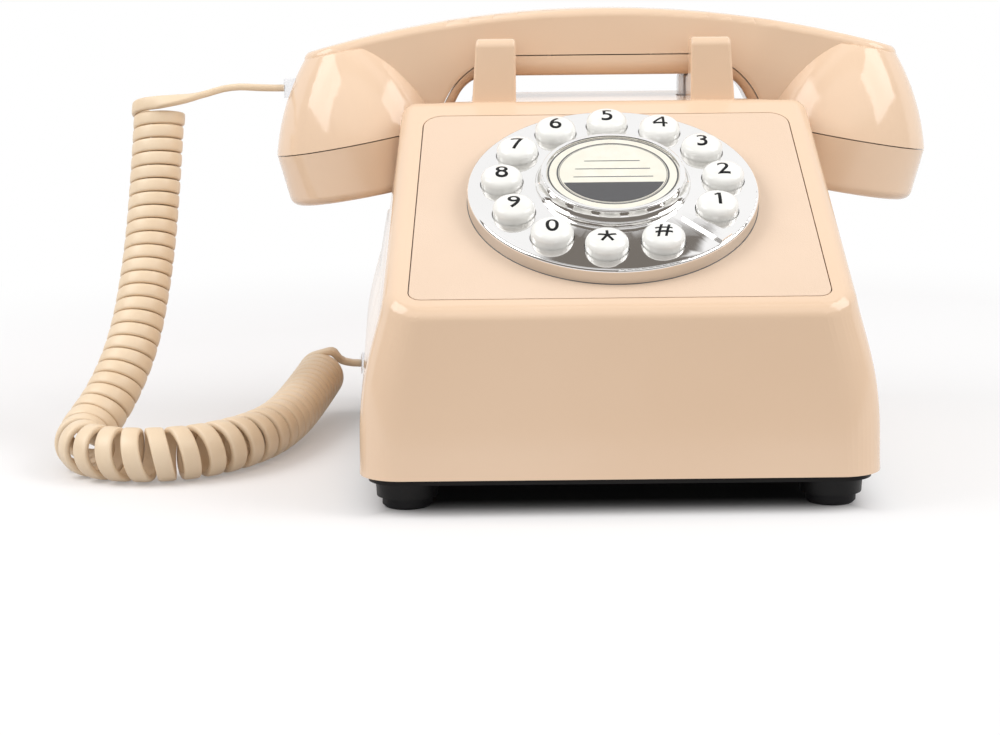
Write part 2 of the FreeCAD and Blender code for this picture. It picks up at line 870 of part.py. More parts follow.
def base_screws():
    seat = plate_bottom + screw_head_height
    return screws_at(base_screw_places(), seat, plate_top - seat + screw_reach)


def main_board():
    low = plate_top + board_stand
    size = Vector(board_width, board_depth, circuit_thickness)
    board = centred_box(size, Vector(0, board_y, low + circuit_thickness / 2))
    return board.cut([cylinder(screw_bore, low - overshoot, low + 2 * circuit_thickness, p)
                      for p in board_screw_places()])


def main_board_screws():
    turn = Rotation(Vector(1, 0, 0), 180)
    length = circuit_thickness + screw_reach
    return group([placed(screw(length), Placement(p + Vector(0, 0, circuit_thickness), turn))
                  for p in board_screw_places()])


def ringer_speaker():
    cone = revolved([(0, 0), (speaker_radius, 0), (speaker_radius, speaker_rim_height),
                     (speaker_magnet_radius, speaker_height / 2 + speaker_rim_height / 2),
                     (speaker_magnet_radius, speaker_height), (0, speaker_height)])
    return placed(cone, Placement(Vector(speaker_x, front_row_y, plate_top), Rotation()))


def base_weight():
    return centred_box(weight_size, Vector(weight_x, front_row_y, plate_top + weight_size.z / 2))


def ringer_switch():
    centre = Vector(0, switch_y, plate_top + switch_size.z / 2)
    room = switch_size - Vector(2 * switch_wall, 2 * switch_wall, 2 * switch_wall)
    inside = centred_box(room + Vector(0, 0, 2 * switch_wall), centre - Vector(0, 0, switch_wall))
    return centred_box(switch_size, centre).cut(inside)


def ringer_knob():
    low = plate_top + fit_gap
    start = Vector(-knob_travel / 2, switch_y, low)
    stem = centred_box(knob_size, start + Vector(0, 0, knob_flange_height - knob_size.z / 2))
    flange_size = Vector(knob_size.x + 2 * knob_flange, knob_size.y + 2 * knob_flange, knob_flange_height)
    return stem.fuse(centred_box(flange_size, start + Vector(0, 0, knob_flange_height / 2))).removeSplitter()


# Jacks and plugs

def line_jack_block(gap):
    half = line_jack_size.x / 2 + gap
    return box(Vector(line_jack_x - half, rear_y - line_jack_size.y, plate_top - gap),
               Vector(line_jack_x + half, far, plate_top + line_jack_size.z + gap))


def line_jack_opening():
    tool = line_jack_block(fit_gap)
    return tool.fuse(tool.translated(Vector(0, 0, -line_jack_size.z / 2))).removeSplitter()


def line_jack():
    block = line_jack_block(0).common(housing_form(0, 0, 0))
    centre = Vector(line_jack_x, rear_y, plate_top + line_jack_size.z / 2)
    socket = box(Vector(centre.x - line_socket.x / 2, rear_y - line_socket.y, centre.z - line_socket.z / 2),
                 Vector(centre.x + line_socket.x / 2, far, centre.z + line_socket.z / 2))
    latch_low = centre.z - line_socket.z / 2 - line_latch.z
    latch = box(Vector(centre.x - line_latch.x / 2, rear_y - line_latch.y, latch_low),
                Vector(centre.x + line_latch.x / 2, far, centre.z))
    return block.cut([socket, latch]).removeSplitter()


def base_plug_centre():
    y = rear_y - base_jack_inset
    z = plate_top + base_jack_size.z / 2
    outer = half_width(y, z) + plug_proud
    return Vector(-outer + plug_size.x / 2, y, z)


def base_jack_block(gap):
    plug = base_plug_centre()
    inner = plug.x - plug_size.x / 2 + plug_proud + base_jack_size.x
    return box(Vector(-far, plug.y - base_jack_size.y / 2 - gap, plate_top - gap),
               Vector(inner, plug.y + base_jack_size.y / 2 + gap, plate_top + base_jack_size.z + gap))


def base_jack_opening():
    tool = base_jack_block(fit_gap)
    return tool.fuse(tool.translated(Vector(0, 0, -base_jack_size.z / 2))).removeSplitter()


def plug_pocket(centre):
    room = plug_size + Vector(2, 2, 2) * plug_clearance
    return centred_box(room, centre)


def plug(centre):
    # A clear four-way plug whose cord end looks towards -X, with its latch on top.
    body = centred_box(plug_size, centre)
    notch = Vector(plug_size.x / 2, plug_size.y / 2, plug_size.z / 5)
    return body.cut(centred_box(notch, centre + Vector(plug_size.x / 2, 0, plug_size.z / 2)))


def base_jack():
    return base_jack_block(0).common(housing_form(0, 0, 0)).cut(plug_pocket(base_plug_centre()))


def cord_plug_base():
    return plug(base_plug_centre())


# Hook switch

def bracket_top():
    return deck_under - bracket_boss_length


def bracket_floor():
    return bracket_top() - bracket_sheet - bracket_depth


def plunger_flange_top():
    return deck_under - plunger_travel - plunger_stop_gap


def plunger_stem_end():
    return bracket_floor() - bracket_sheet - plunger_travel - plunger_stem_below


def hook_plunger():
    def square(half, low, high):
        return box(Vector(plunger_x - half, handset_y - half, low),
                   Vector(plunger_x + half, handset_y + half, high))
    low = plunger_flange_top() - flange_height
    head = square(plunger_half, low, seat_z)
    rims = [e for e in head.Edges if e.BoundBox.ZMax > seat_z - touch]
    head = head.makeFillet(plunger_round, rims)
    stem = cylinder(plunger_stem_radius, plunger_stem_end(), low, Vector(plunger_x, handset_y, 0))
    return head.fuse([square(flange_half, low, plunger_flange_top()), stem]).removeSplitter()


def hook_bracket():
    top, floor = bracket_top(), bracket_floor()
    low_x, high_x = plunger_x - bracket_half_x, plunger_x + bracket_half_x
    sheet = bracket_sheet

    def slab(y0, y1, z0, z1):
        return box(Vector(low_x, handset_y + y0, z0), Vector(high_x, handset_y + y1, z1))
    inner = bracket_half_y
    pieces = [slab(-inner, inner, floor - sheet, floor)]
    for side in (-1, 1):
        y0, y1 = sorted((side * (inner - sheet), side * inner))
        pieces.append(slab(y0, y1, floor, top))
        y0, y1 = sorted((side * (inner - sheet), side * (inner + bracket_ear)))
        pieces.append(slab(y0, y1, top - sheet, top))
    holes = [cylinder(screw_bore, top - 2 * sheet, top + overshoot, p) for p in bracket_screw_places()]
    stem = Vector(plunger_x, handset_y, 0)
    holes.append(cylinder(plunger_stem_radius + screw_slack, floor - 2 * sheet, floor + overshoot, stem))
    return pieces[0].fuse(pieces[1:]).cut(holes).removeSplitter()


def hook_bracket_screws():
    low = bracket_top() - bracket_sheet
    return screws_at(bracket_screw_places(), low, bracket_sheet + screw_reach)


def hook_switch():
    top = bracket_floor() - bracket_sheet
    high_x = plunger_x - plunger_stem_radius - hook_switch_gap
    size = hook_switch_size
    body = box(Vector(high_x - size.x, handset_y - size.y / 2, top - size.z),
               Vector(high_x, handset_y + size.y / 2, top))
    leaf_top = plunger_stem_end() - fit_gap
    leaf = box(Vector(high_x - overshoot, handset_y - hook_leaf.y / 2, leaf_top - hook_leaf.z),
               Vector(high_x + hook_leaf.x, handset_y + hook_leaf.y / 2, leaf_top))
    return body.fuse(leaf).removeSplitter()


def hook_spring():
    low = bracket_floor() + spring_seat_gap + spring_wire / 2
    high = plunger_flange_top() - flange_height - spring_seat_gap - spring_wire / 2
    rise = (high - low) / (2 * math.pi * spring_turns)
    nodes = []
    for i in range(2 * spring_turns + 1):
        angle = math.pi * i
        x, y = spring_radius * math.cos(angle), spring_radius * math.sin(angle)
        spot = Vector(plunger_x + x, handset_y + y, low + rise * angle)
        nodes.append((spot, Vector(-y, x, rise).normalize()))
    return swept(biarc_edges(nodes), spring_wire)


# Handset, in its own frame: the grip's underside is at Z = 0

def cup_place(side):
    # The cup's axis leans outwards at the top; its seam is at local height 0.
    return Placement(Vector(side * cup_x, 0, -cup_seam_drop), Rotation(Vector(0, 1, 0), side * cup_tilt))


def cup_solid(inset, floor_profile, floor, rim):
    diagonal = rim * (1 - math.sqrt(0.5))
    low_radius = cup_floor_radius - inset
    top = dome_top_radius - inset
    shoulder = dome_top_height - inset
    return revolved(floor_profile + [
        (low_radius - rim, floor), (low_radius - diagonal, floor + diagonal, "arc"),
        (low_radius, floor + rim), (cup_radius - inset, 0),
        (dome_shoulder_radius - inset, dome_shoulder_height - inset / 2, "arc"),
        (top, shoulder), cap_point(top, shoulder, dome_height - inset), (0, dome_height - inset)])


def cup(side):
    edge = cup_floor_radius - cup_rim_radius
    dish = cup_dish - cup_depth
    profile = [(0, dish), cap_point(edge, -cup_depth, dish)]
    return placed(cup_solid(0, profile, -cup_depth, cup_rim_radius), cup_place(side))


def cup_space(inset, side):
    # The hollow inside a cup, with a flat floor above the dished face.
    floor = cup_floor(inset)
    return placed(cup_solid(inset, [(0, floor)], floor, cup_rim_radius - inset), cup_place(side))


def cup_floor(inset):
    return cup_dish - cup_depth + inset


def arc_chain(start, turn, radius, sign):
    # The end point and direction of an arc that leaves start along +X and turns down by turn degrees.
    angle = math.radians(turn)
    end = start + Vector(radius * math.sin(angle), -sign * radius * (1 - math.cos(angle)), 0)
    middle = start + Vector(radius * math.sin(angle / 2), -sign * radius * (1 - math.cos(angle / 2)), 0)
    return middle, end, Vector(math.cos(angle), -sign * math.sin(angle), 0)


def across(p):
    return Vector(-p.x, p.y, 0)


def grip(inset):
    crown = crown_radius - inset
    crown_z = grip_height - crown_radius
    end_x = handset_length / 2 - grip_end_inset - inset
    start = Vector(grip_corner_start, inset, 0)
    middle, corner, along = arc_chain(start, grip_corner_turn, grip_corner_radius + inset, 1)
    root = corner + along * neck_length
    inner = Vector(cup_x, root.y, 0)
    waist = Vector(end_x, inner.y + (end_x - cup_x) * grip_waist_slope, 0)
    shoulder = Vector(end_x, crown_z + math.sqrt(crown ** 2 - end_x ** 2), 0)
    top = Vector(0, crown_z + crown, 0)

    def half_outline(turn):
        stops = [turn(p) for p in (corner, root, inner, waist, shoulder)]
        lines = [Part.makeLine(a, b) for a, b in zip(stops, stops[1:])]
        return [Part.Arc(turn(start), turn(middle), stops[0]).toShape()] + lines
    edges = half_outline(Vector) + half_outline(across) + [
        Part.makeLine(across(start), start), Part.Arc(shoulder, top, across(shoulder)).toShape()]
    outline = Part.Wire(Part.__sortEdges__(edges))
    half = grip_depth / 2 - inset
    bar = extruded_along_y(outline, -half, half)
    centre = end_x - half
    plan = box(Vector(-centre, -half, -far), Vector(centre, half, far))
    ends = [cylinder(half, -far, far, Vector(side * centre, 0, 0)) for side in (-1, 1)]
    return bar.common(plan.fuse(ends).removeSplitter())


def softened_grip():
    bar = grip(0)
    half = grip_depth / 2
    crown_z = grip_height - crown_radius
    upper, under = [], []
    for edge in bar.Edges:
        low, high = edge.ParameterRange
        points = [edge.valueAt(low + share * (high - low)) for share in (0.2, 0.5)]
        if all(abs(math.hypot(p.x, p.z - crown_z) - crown_radius) < touch for p in points):
            upper.append(edge)
        elif all(abs(abs(p.y) - half) < touch and abs(p.x) < cup_x - cup_radius / 2 for p in points):
            under.append(edge)
    bar = bar.makeFillet(grip_top_radius, upper)
    wanted = [e.CenterOfMass for e in under]
    again = [e for e in bar.Edges if any((e.CenterOfMass - c).Length < touch for c in wanted)]
    return bar.makeFillet(grip_under_radius, again)


def handset_form():
    return softened_grip().fuse([cup(-1), cup(1)]).removeSplitter()


def handset_spaces(inset):
    return [grip(inset), cup_space(inset, -1), cup_space(inset, 1)]


def below_seam(drop):
    # Everything under the line where the two shells meet.
    start = Vector(seam_corner_start, seam_height - drop, 0)
    middle, corner, along = arc_chain(start, seam_corner_turn, seam_corner_radius - drop, 1)
    seam_tan = math.tan(tilt)
    # The cup's seam plane: z = -cup_seam_drop - drop + seam_tan * (cup_x - x)
    gap = corner.y - (-cup_seam_drop - drop + seam_tan * (cup_x - corner.x))
    reach = gap / (-along.y - seam_tan * along.x)
    meet = corner + along * reach
    end = Vector(far, -cup_seam_drop - drop + seam_tan * (cup_x - far), 0)
    low = Vector(far, -far, 0)
    edges = [Part.makeLine(across(start), start), Part.Arc(start, middle, corner).toShape()]
    stops = [corner, meet, end, low, across(low), across(end), across(meet), across(corner)]
    edges += [Part.makeLine(a, b) for a, b in zip(stops, stops[1:])]
    edges.append(Part.Arc(across(corner), across(middle), across(start)).toShape())
    return extruded_along_y(Part.Wire(edges), -far, far)


def handset_screw_places():
    return [Vector(side * handset_screw_x, 0, seam_height) for side in (-1, 1)]


def handset_plug_centre():
    # The plug's outer end stands proud of the left dome at its own height.
    height = -handset_jack_drop
    line = Part.makeBox(far, touch, touch, Vector(-far, 0, height))
    outer = cup(-1).common(line).BoundBox.XMin - plug_proud
    return Vector(outer + plug_size.x / 2, 0, height)


def make_handset():
    solid = handset_form()
    below = below_seam(0)
    lower_space = below_seam(seam_gap)
    plug_centre = handset_plug_centre()
    spots = handset_screw_places()
    roof = [cylinder(handset_boss_radius, seam_height, far, p).common(solid) for p in spots]
    floor = [cylinder(handset_boss_radius, 0, seam_height, p).common(solid) for p in spots]
    bores = [cylinder(screw_bore, 0, seam_height + screw_depth, p) for p in spots]
    heads = [cylinder(screw_head_radius + fit_gap, -overshoot, screw_head_height, p) for p in spots]
    shell = solid.cut(handset_spaces(shell_wall))
    upper = shell.cut(below).fuse(roof).cut(bores + [plug_pocket(plug_centre)]).removeSplitter()
    lower = shell.common(lower_space).fuse(floor).cut(bores + heads + sound_holes()).removeSplitter()
    parts["handset_upper_shell"] = placed(upper, handset_place)
    parts["handset_lower_shell"] = placed(lower, handset_place)
    jack_reach = plug_centre + Vector((handset_jack_size.x - plug_size.x) / 2, 0, 0)
    jack = centred_box(handset_jack_size, jack_reach).common(cup_space(shell_wall + jack_seat_gap, -1))
    parts["handset_jack"] = placed(jack.cut(plug_pocket(plug_centre)), handset_place)
    parts["cord_plug_handset"] = placed(plug(plug_centre), handset_place)
    screws = screws_at(spots, screw_head_height, seam_height - screw_head_height + screw_reach)
    parts["handset_screws"] = placed(screws, handset_place)
    weight = centred_box(handset_weight_size, Vector(0, 0, shell_wall + handset_weight_size.z / 2))
    parts["handset_weight"] = placed(weight, handset_place)
    floor_z = cup_floor(shell_wall)
    gasket = revolved([(gasket_bore, floor_z), (gasket_radius, floor_z),
                       (gasket_radius, floor_z + gasket_height), (gasket_bore, floor_z + gasket_height)])
    capsule = cylinder(capsule_radius, floor_z + gasket_height, floor_z + gasket_height + capsule_height)
    boot = cylinder(boot_radius, floor_z, floor_z + boot_height)
    mic = cylinder(mic_radius, floor_z + boot_floor, floor_z + boot_floor + mic_height)
    ear = handset_place.multiply(cup_place(1))
    mouth = handset_place.multiply(cup_place(-1))
    parts["receiver_gasket"] = placed(gasket, ear)
    parts["receiver_capsule"] = placed(capsule, ear)
    parts["microphone_boot"] = placed(boot.cut(mic), mouth)
    parts["microphone_capsule"] = placed(mic, mouth)


def sound_holes():
    holes = []
    for side in (-1, 1):
        spots = [Vector()]
        for i in range(sound_hole_count):
            angle = 2 * math.pi * i / sound_hole_count
            spots.append(Vector(sound_hole_circle * math.cos(angle), sound_hole_circle * math.sin(angle), 0))
        holes += [placed(cylinder(sound_hole_radius, -2 * cup_depth, 0, p), cup_place(side)) for p in spots]
    return holes


# Curly cord

def arc_between(start, control, end):
    # The arc that touches both legs of an even-sided corner.
    leg = (control - start).Length
    chord_middle = (start + end) * 0.5
    height = (control - chord_middle).Length
    half_chord = (start - chord_middle).Length
    share = leg * (leg - half_chord) / height ** 2
    return Part.Arc(start, control + (chord_middle - control) * share, end).toShape()


def biarc_edges(nodes):
    # Two tangent arcs between each pair of points with directions.
    edges = []
    for (a, along_a), (b, along_b) in zip(nodes, nodes[1:]):
        span = b - a
        square = 2 * (along_a.dot(along_b) - 1)
        linear = -2 * span.dot(along_a + along_b)
        constant = span.dot(span)
        reach = (-linear - math.sqrt(linear ** 2 - 4 * square * constant)) / (2 * square)
        first = a + along_a * reach
        second = b - along_b * reach
        join = (first + second) * 0.5
        edges += [arc_between(a, first, join), arc_between(join, second, b)]
    return edges


def rounded_path(points):
    # Straight runs joined by arcs as large as the runs allow; also returns the radii.
    edges, radii = [], []
    last = points[0]
    for before, corner, after in zip(points, points[1:], points[2:]):
        reach = bend_share * min((corner - before).Length, (after - corner).Length)
        start = corner + (before - corner).normalize() * reach
        end = corner + (after - corner).normalize() * reach
        edges += [Part.makeLine(last, start), arc_between(start, corner, end)]
        radii.append(reach * math.tan((before - corner).getAngle(after - corner) / 2))
        last = end
    return edges + [Part.makeLine(last, points[-1])], radii


def swept(edges, diameter):
    wire = Part.Wire(edges)
    start = edges[0].valueAt(edges[0].FirstParameter)
    along = edges[0].tangentAt(edges[0].FirstParameter)
    turn = Rotation(Vector(0, 0, 1), along)
    ring = []
    for i in range(cord_sides + 1):
        angle = 2 * math.pi * i / cord_sides
        ring.append(start + turn.multVec(Vector(math.cos(angle), math.sin(angle), 0)) * (diameter / 2))
    return wire.makePipeShell([Part.makePolygon(ring)], True, False)


class Axis:
    # The coil's axis as evenly spaced points with frames that don't spin.
    def __init__(self, points, first_side):
        edges, self.radii = rounded_path(points)
        wire = Part.Wire(edges)
        self.length = wire.Length
        self.count = int(wire.Length / axis_step)
        self.points = wire.discretize(Number=self.count + 1)
        self.sides = []
        side = first_side
        for i in range(self.count + 1):
            along = self.along(i)
            side = (side - along * side.dot(along)).normalize()
            self.sides.append(side)

    def along(self, i):
        low, high = max(i - 1, 0), min(i + 1, self.count)
        return (self.points[high] - self.points[low]).normalize()

    def bend(self, distance):
        i = min(max(int(distance / self.length * self.count), 4), self.count - 4)
        return self.along(i - 3).getAngle(self.along(i + 3)) / (6 * self.length / self.count)

    def spot(self, distance, phase):
        place = distance / self.length * self.count
        i = min(max(int(place), 0), self.count - 1)
        share = place - i
        centre = self.points[i] * (1 - share) + self.points[i + 1] * share
        side = (self.sides[i] * (1 - share) + self.sides[i + 1] * share).normalize()
        along = (self.along(i) * (1 - share) + self.along(min(i + 1, self.count)) * share).normalize()
        up = along.cross(side)
        return centre + side * (curl_radius * math.cos(phase)) + up * (curl_radius * math.sin(phase))


def pitch_at(axis, distance):
    # The chosen pitch, opened where the axis bends so that the inner side of the turns stays clear.
    pitch = curl_pitches[-1][1]
    for (d0, p0), (d1, p1) in zip(curl_pitches, curl_pitches[1:]):
        if d0 <= distance < d1:
            pitch = p0 + (p1 - p0) * (distance - d0) / (d1 - d0)
    return max(pitch, (cord_diameter + curl_gap) / (1 - curl_radius * axis.bend(distance)))


def curl_nodes(axis):
    # Points and directions about every half turn; the last turn ends at the coil's top.
    step = axis.length / axis.count
    phases = [0.0]
    for i in range(axis.count):
        phases.append(phases[-1] + 2 * math.pi * step / pitch_at(axis, (i + 0.5) * step))
    side = axis.sides[-1]
    top = math.atan2(axis.along(axis.count).cross(side).z, side.z)
    end = phases[-1] - (phases[-1] - top) % (2 * math.pi)
    halves = round(end / math.pi)
    nodes = []
    for k in range(halves + 1):
        phase = end * k / halves
        i = min(bisect.bisect_right(phases, phase), axis.count) - 1
        rate = (phases[i + 1] - phases[i]) / step
        distance = i * step + (phase - phases[i]) / rate
        near = step / 20
        ahead = axis.spot(distance + near, phase + near * rate)
        behind = axis.spot(distance - near, phase - near * rate)
        nodes.append((axis.spot(distance, phase), (ahead - behind).normalize()))
    return nodes


def least_gap(edges):
    # The smallest free distance between stretches of the cord that aren't neighbours.
    points, run = [], 0.0
    for edge in edges:
        spots = edge.discretize(Number=7)
        for a, b in zip(spots, spots[1:]):
            points.append((run, a))
            run += (b - a).Length
    skip = math.pi * curl_radius
    cells = {}
    size = 3 * cord_diameter
    least = far
    for run, p in points:
        key = (int(p.x // size), int(p.y // size), int(p.z // size))
        for i in (-1, 0, 1):
            for j in (-1, 0, 1):
                for k in (-1, 0, 1):
                    for other_run, q in cells.get((key[0] + i, key[1] + j, key[2] + k), []):
                        if run - other_run > skip:
                            least = min(least, (p - q).Length)
        cells.setdefault(key, []).append((run, p))
    return least - cord_diameter


def handset_cord():
    axis = Axis(cord_axis, Vector(0, -1, 0))
    nodes = curl_nodes(axis)
    plug_end = handset_place.multVec(handset_plug_centre()) - Vector(plug_size.x / 2, 0, 0)
    first, along_first = nodes[0]
    last, along_last = nodes[-1]
    lead_in = [plug_end, plug_end - Vector(lead_straight, 0, 0)] + handset_lead
    lead_in += [first - along_first * curl_straight, first]
    base_end = base_plug_centre() - Vector(plug_size.x / 2, 0, 0)
    lead_out = [last, last + along_last * curl_straight, base_end - Vector(lead_straight, 0, 0), base_end]
    in_edges, in_radii = rounded_path(lead_in)
    out_edges, out_radii = rounded_path(lead_out)
    edges = in_edges + biarc_edges(nodes) + out_edges
    cord = swept(edges, cord_diameter)
    length = sum(e.Length for e in edges)
    section = cord_sides / 2 * math.sin(2 * math.pi / cord_sides) * (cord_diameter / 2) ** 2
    print("cord: turns", (len(nodes) - 1) / 2, "length", round(length), "axis", round(axis.length),
          "axis radii", [round(r) for r in axis.radii],
          "lead radii", [round(r, 1) for r in in_radii + out_radii])
    print("cord: volume over section times length", round(cord.Volume / (section * length), 4),
          "least gap", round(least_gap(edges), 2), "lowest", round(cord.BoundBox.ZMin, 2))
    return cord


def main():
    os.makedirs("parts", exist_ok=True)
    makers = [upper_housing, face_panel, base_plate, base_screws, main_board, main_board_screws,
              ringer_speaker, base_weight, ringer_switch, ringer_knob, line_jack, base_jack, cord_plug_base,
              hook_plunger, hook_bracket, hook_bracket_screws, hook_switch, hook_spring, handset_cord]
    for name, place in foot_places().items():
        parts[name] = foot(place)
    for make in makers:
        parts[make.__name__] = make()
    make_dial()
    make_handset()
    for name, shape in sorted(parts.items()):
        shape.exportStep("parts/" + name + ".step")
        if not shape.isValid() or shape.Volume <= 0:
            print("check", name, "valid", shape.isValid(), "volume", round(shape.Volume, 2))


main()
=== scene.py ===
import bpy
import json
import math
from mathutils import Matrix, Vector


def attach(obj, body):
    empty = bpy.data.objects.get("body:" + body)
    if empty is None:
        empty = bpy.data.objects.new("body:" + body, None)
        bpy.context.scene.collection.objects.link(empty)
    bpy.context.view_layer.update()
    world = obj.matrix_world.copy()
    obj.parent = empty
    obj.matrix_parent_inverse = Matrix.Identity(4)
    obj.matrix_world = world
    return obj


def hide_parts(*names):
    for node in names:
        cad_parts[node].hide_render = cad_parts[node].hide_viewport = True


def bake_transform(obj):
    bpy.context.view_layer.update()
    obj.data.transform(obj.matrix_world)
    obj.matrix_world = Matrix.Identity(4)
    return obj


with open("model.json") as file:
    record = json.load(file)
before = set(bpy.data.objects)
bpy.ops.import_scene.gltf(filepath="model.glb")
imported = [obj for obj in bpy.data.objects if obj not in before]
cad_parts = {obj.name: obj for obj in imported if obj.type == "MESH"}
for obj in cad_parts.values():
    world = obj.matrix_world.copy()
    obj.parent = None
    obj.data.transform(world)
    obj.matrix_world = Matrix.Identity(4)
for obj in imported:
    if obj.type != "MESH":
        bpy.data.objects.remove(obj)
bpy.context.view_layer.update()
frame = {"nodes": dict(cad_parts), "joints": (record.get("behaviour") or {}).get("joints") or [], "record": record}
nodes = frame["nodes"]
# lengths are in metres and angles in degrees; nearer points than this are one in a made piece
weldGap = 0.000001
print("frame:", len(nodes), "nodes")


def selectOnly(piece):
    bpy.ops.object.select_all(action="DESELECT")
    piece.select_set(True)
    bpy.context.view_layer.objects.active = piece


def editWhole(piece):
    # edit mode, with all of the piece selected
    selectOnly(piece)
    bpy.ops.object.mode_set(mode="EDIT")
    bpy.ops.mesh.select_all(action="SELECT")


def endEdit():
    bpy.ops.object.mode_set(mode="OBJECT")


def smoothPiece(piece, sharpAngle):
    selectOnly(piece)
    bpy.ops.object.shade_smooth_by_angle(angle=math.radians(sharpAngle))


def applyModifier(piece, kind, **values):
    selectOnly(piece)
    modifier = piece.modifiers.new(kind.lower(), kind)
    for name, value in values.items():
        setattr(modifier, name, value)
    bpy.ops.object.modifier_apply(modifier=modifier.name)


def clamped(value):
    return min(max(value, 0), 1)


def paint(piece, finish):
    piece.data.materials.clear()
    piece.data.materials.append(finish)


def linear(colour):
    # screen colour, 0 to 255, to the linear colour that shaders take
    parts = [c / 255 for c in colour]
    return tuple(c / 12.92 if c <= 0.04045 else ((c + 0.055) / 1.055) ** 2.4 for c in parts) + (1.0,)


# camera, at the photograph's place
cameraLook = {"place": (-0.03466, -0.73024, 0.16393), "down": 10.51, "right": -0.126, "roll": -0.63,
              "lens": 78.77, "sensor": 36, "near": 0.01}


def makeCamera():
    lens = bpy.data.cameras.new("camera")
    lens.lens = cameraLook["lens"]
    lens.sensor_width = cameraLook["sensor"]
    lens.clip_start = cameraLook["near"]
    camera = bpy.data.objects.new("camera", lens)
    bpy.context.scene.collection.objects.link(camera)
    turn = (Matrix.Rotation(math.radians(-cameraLook["right"]), 4, "Z")
            @ Matrix.Rotation(math.radians(90 - cameraLook["down"]), 4, "X")
            @ Matrix.Rotation(math.radians(cameraLook["roll"]), 4, "Z"))
    camera.matrix_world = Matrix.Translation(cameraLook["place"]) @ turn
    bpy.context.scene.camera = camera


makeCamera()
bpy.context.scene.view_settings.view_transform = "Standard"
print("camera done")


# shared surface effects
effectLook = {"toneDetail": 3.0, "toneSpread": (0.35, 0.65), "markDetail": 4.0, "markSpread": (0.3, 0.7),
              "grainDetail": 2.0}


def newGroup(name, inputs, outputs):
    group = bpy.data.node_groups.new(name, "ShaderNodeTree")
    for label, kind in inputs:
        group.interface.new_socket(label, in_out="INPUT", socket_type=kind)
    for label, kind in outputs:
        group.interface.new_socket(label, in_out="OUTPUT", socket_type=kind)
    start = group.nodes.new("NodeGroupInput")
    end = group.nodes.new("NodeGroupOutput")
    return group, start, end


def noiseNode(tree, detail, scale):
    # noise in the part's own coordinates
    noise = tree.nodes.new("ShaderNodeTexNoise")
    noise.inputs["Detail"].default_value = detail
    place = tree.nodes.new("ShaderNodeTexCoord")
    tree.links.new(place.outputs["Object"], noise.inputs["Vector"])
    tree.links.new(scale, noise.inputs["Scale"])
    return noise.outputs["Fac"]


def spreadNode(tree, value, edges):
    # an even ramp from 0 to 1 between two edges
    node = tree.nodes.new("ShaderNodeMapRange")
    node.inputs["From Min"].default_value, node.inputs["From Max"].default_value = edges
    tree.links.new(value, node.inputs["Value"])
    return node


def vectorNode(tree, operation, first, second=None):
    node = tree.nodes.new("ShaderNodeVectorMath")
    node.operation = operation
    tree.links.new(first, node.inputs[0])
    if second is not None:
        node.inputs[1].default_value = second
    return node.outputs


def colourMix(tree):
    # the sockets of a colour mix: share, first colour, second colour and result
    node = tree.nodes.new("ShaderNodeMix")
    node.data_type = "RGBA"
    return node.inputs[0], node.inputs[6], node.inputs[7], node.outputs[2]


def mouldedToneGroup():
    # slow drift between two near colours, as in moulded plastic
    colour, number = "NodeSocketColor", "NodeSocketFloat"
    inputs = [("Colour", colour), ("Deeper Colour", colour), ("Patches", number)]
    group, start, end = newGroup("moulded tone", inputs, [("Colour", colour)])
    noise = noiseNode(group, effectLook["toneDetail"], start.outputs["Patches"])
    spread = spreadNode(group, noise, effectLook["toneSpread"])
    share, first, second, result = colourMix(group)
    group.links.new(spread.outputs["Result"], share)
    group.links.new(start.outputs["Colour"], first)
    group.links.new(start.outputs["Deeper Colour"], second)
    group.links.new(result, end.inputs["Colour"])
    return group


def skinGrainGroup():
    # roughness that drifts like handling marks, and the height of the fine grain
    number = "NodeSocketFloat"
    inputs = [(label, number) for label in ("Marks", "Grain", "Smooth", "Rough")]
    group, start, end = newGroup("skin grain", inputs, [("Roughness", number), ("Height", number)])
    marks = noiseNode(group, effectLook["markDetail"], start.outputs["Marks"])
    grain = noiseNode(group, effectLook["grainDetail"], start.outputs["Grain"])
    spread = spreadNode(group, marks, effectLook["markSpread"])
    group.links.new(start.outputs["Smooth"], spread.inputs["To Min"])
    group.links.new(start.outputs["Rough"], spread.inputs["To Max"])
    group.links.new(spread.outputs["Result"], end.inputs["Roughness"])
    group.links.new(grain, end.inputs["Height"])
    return group


mouldedTone = mouldedToneGroup()
skinGrain = skinGrainGroup()

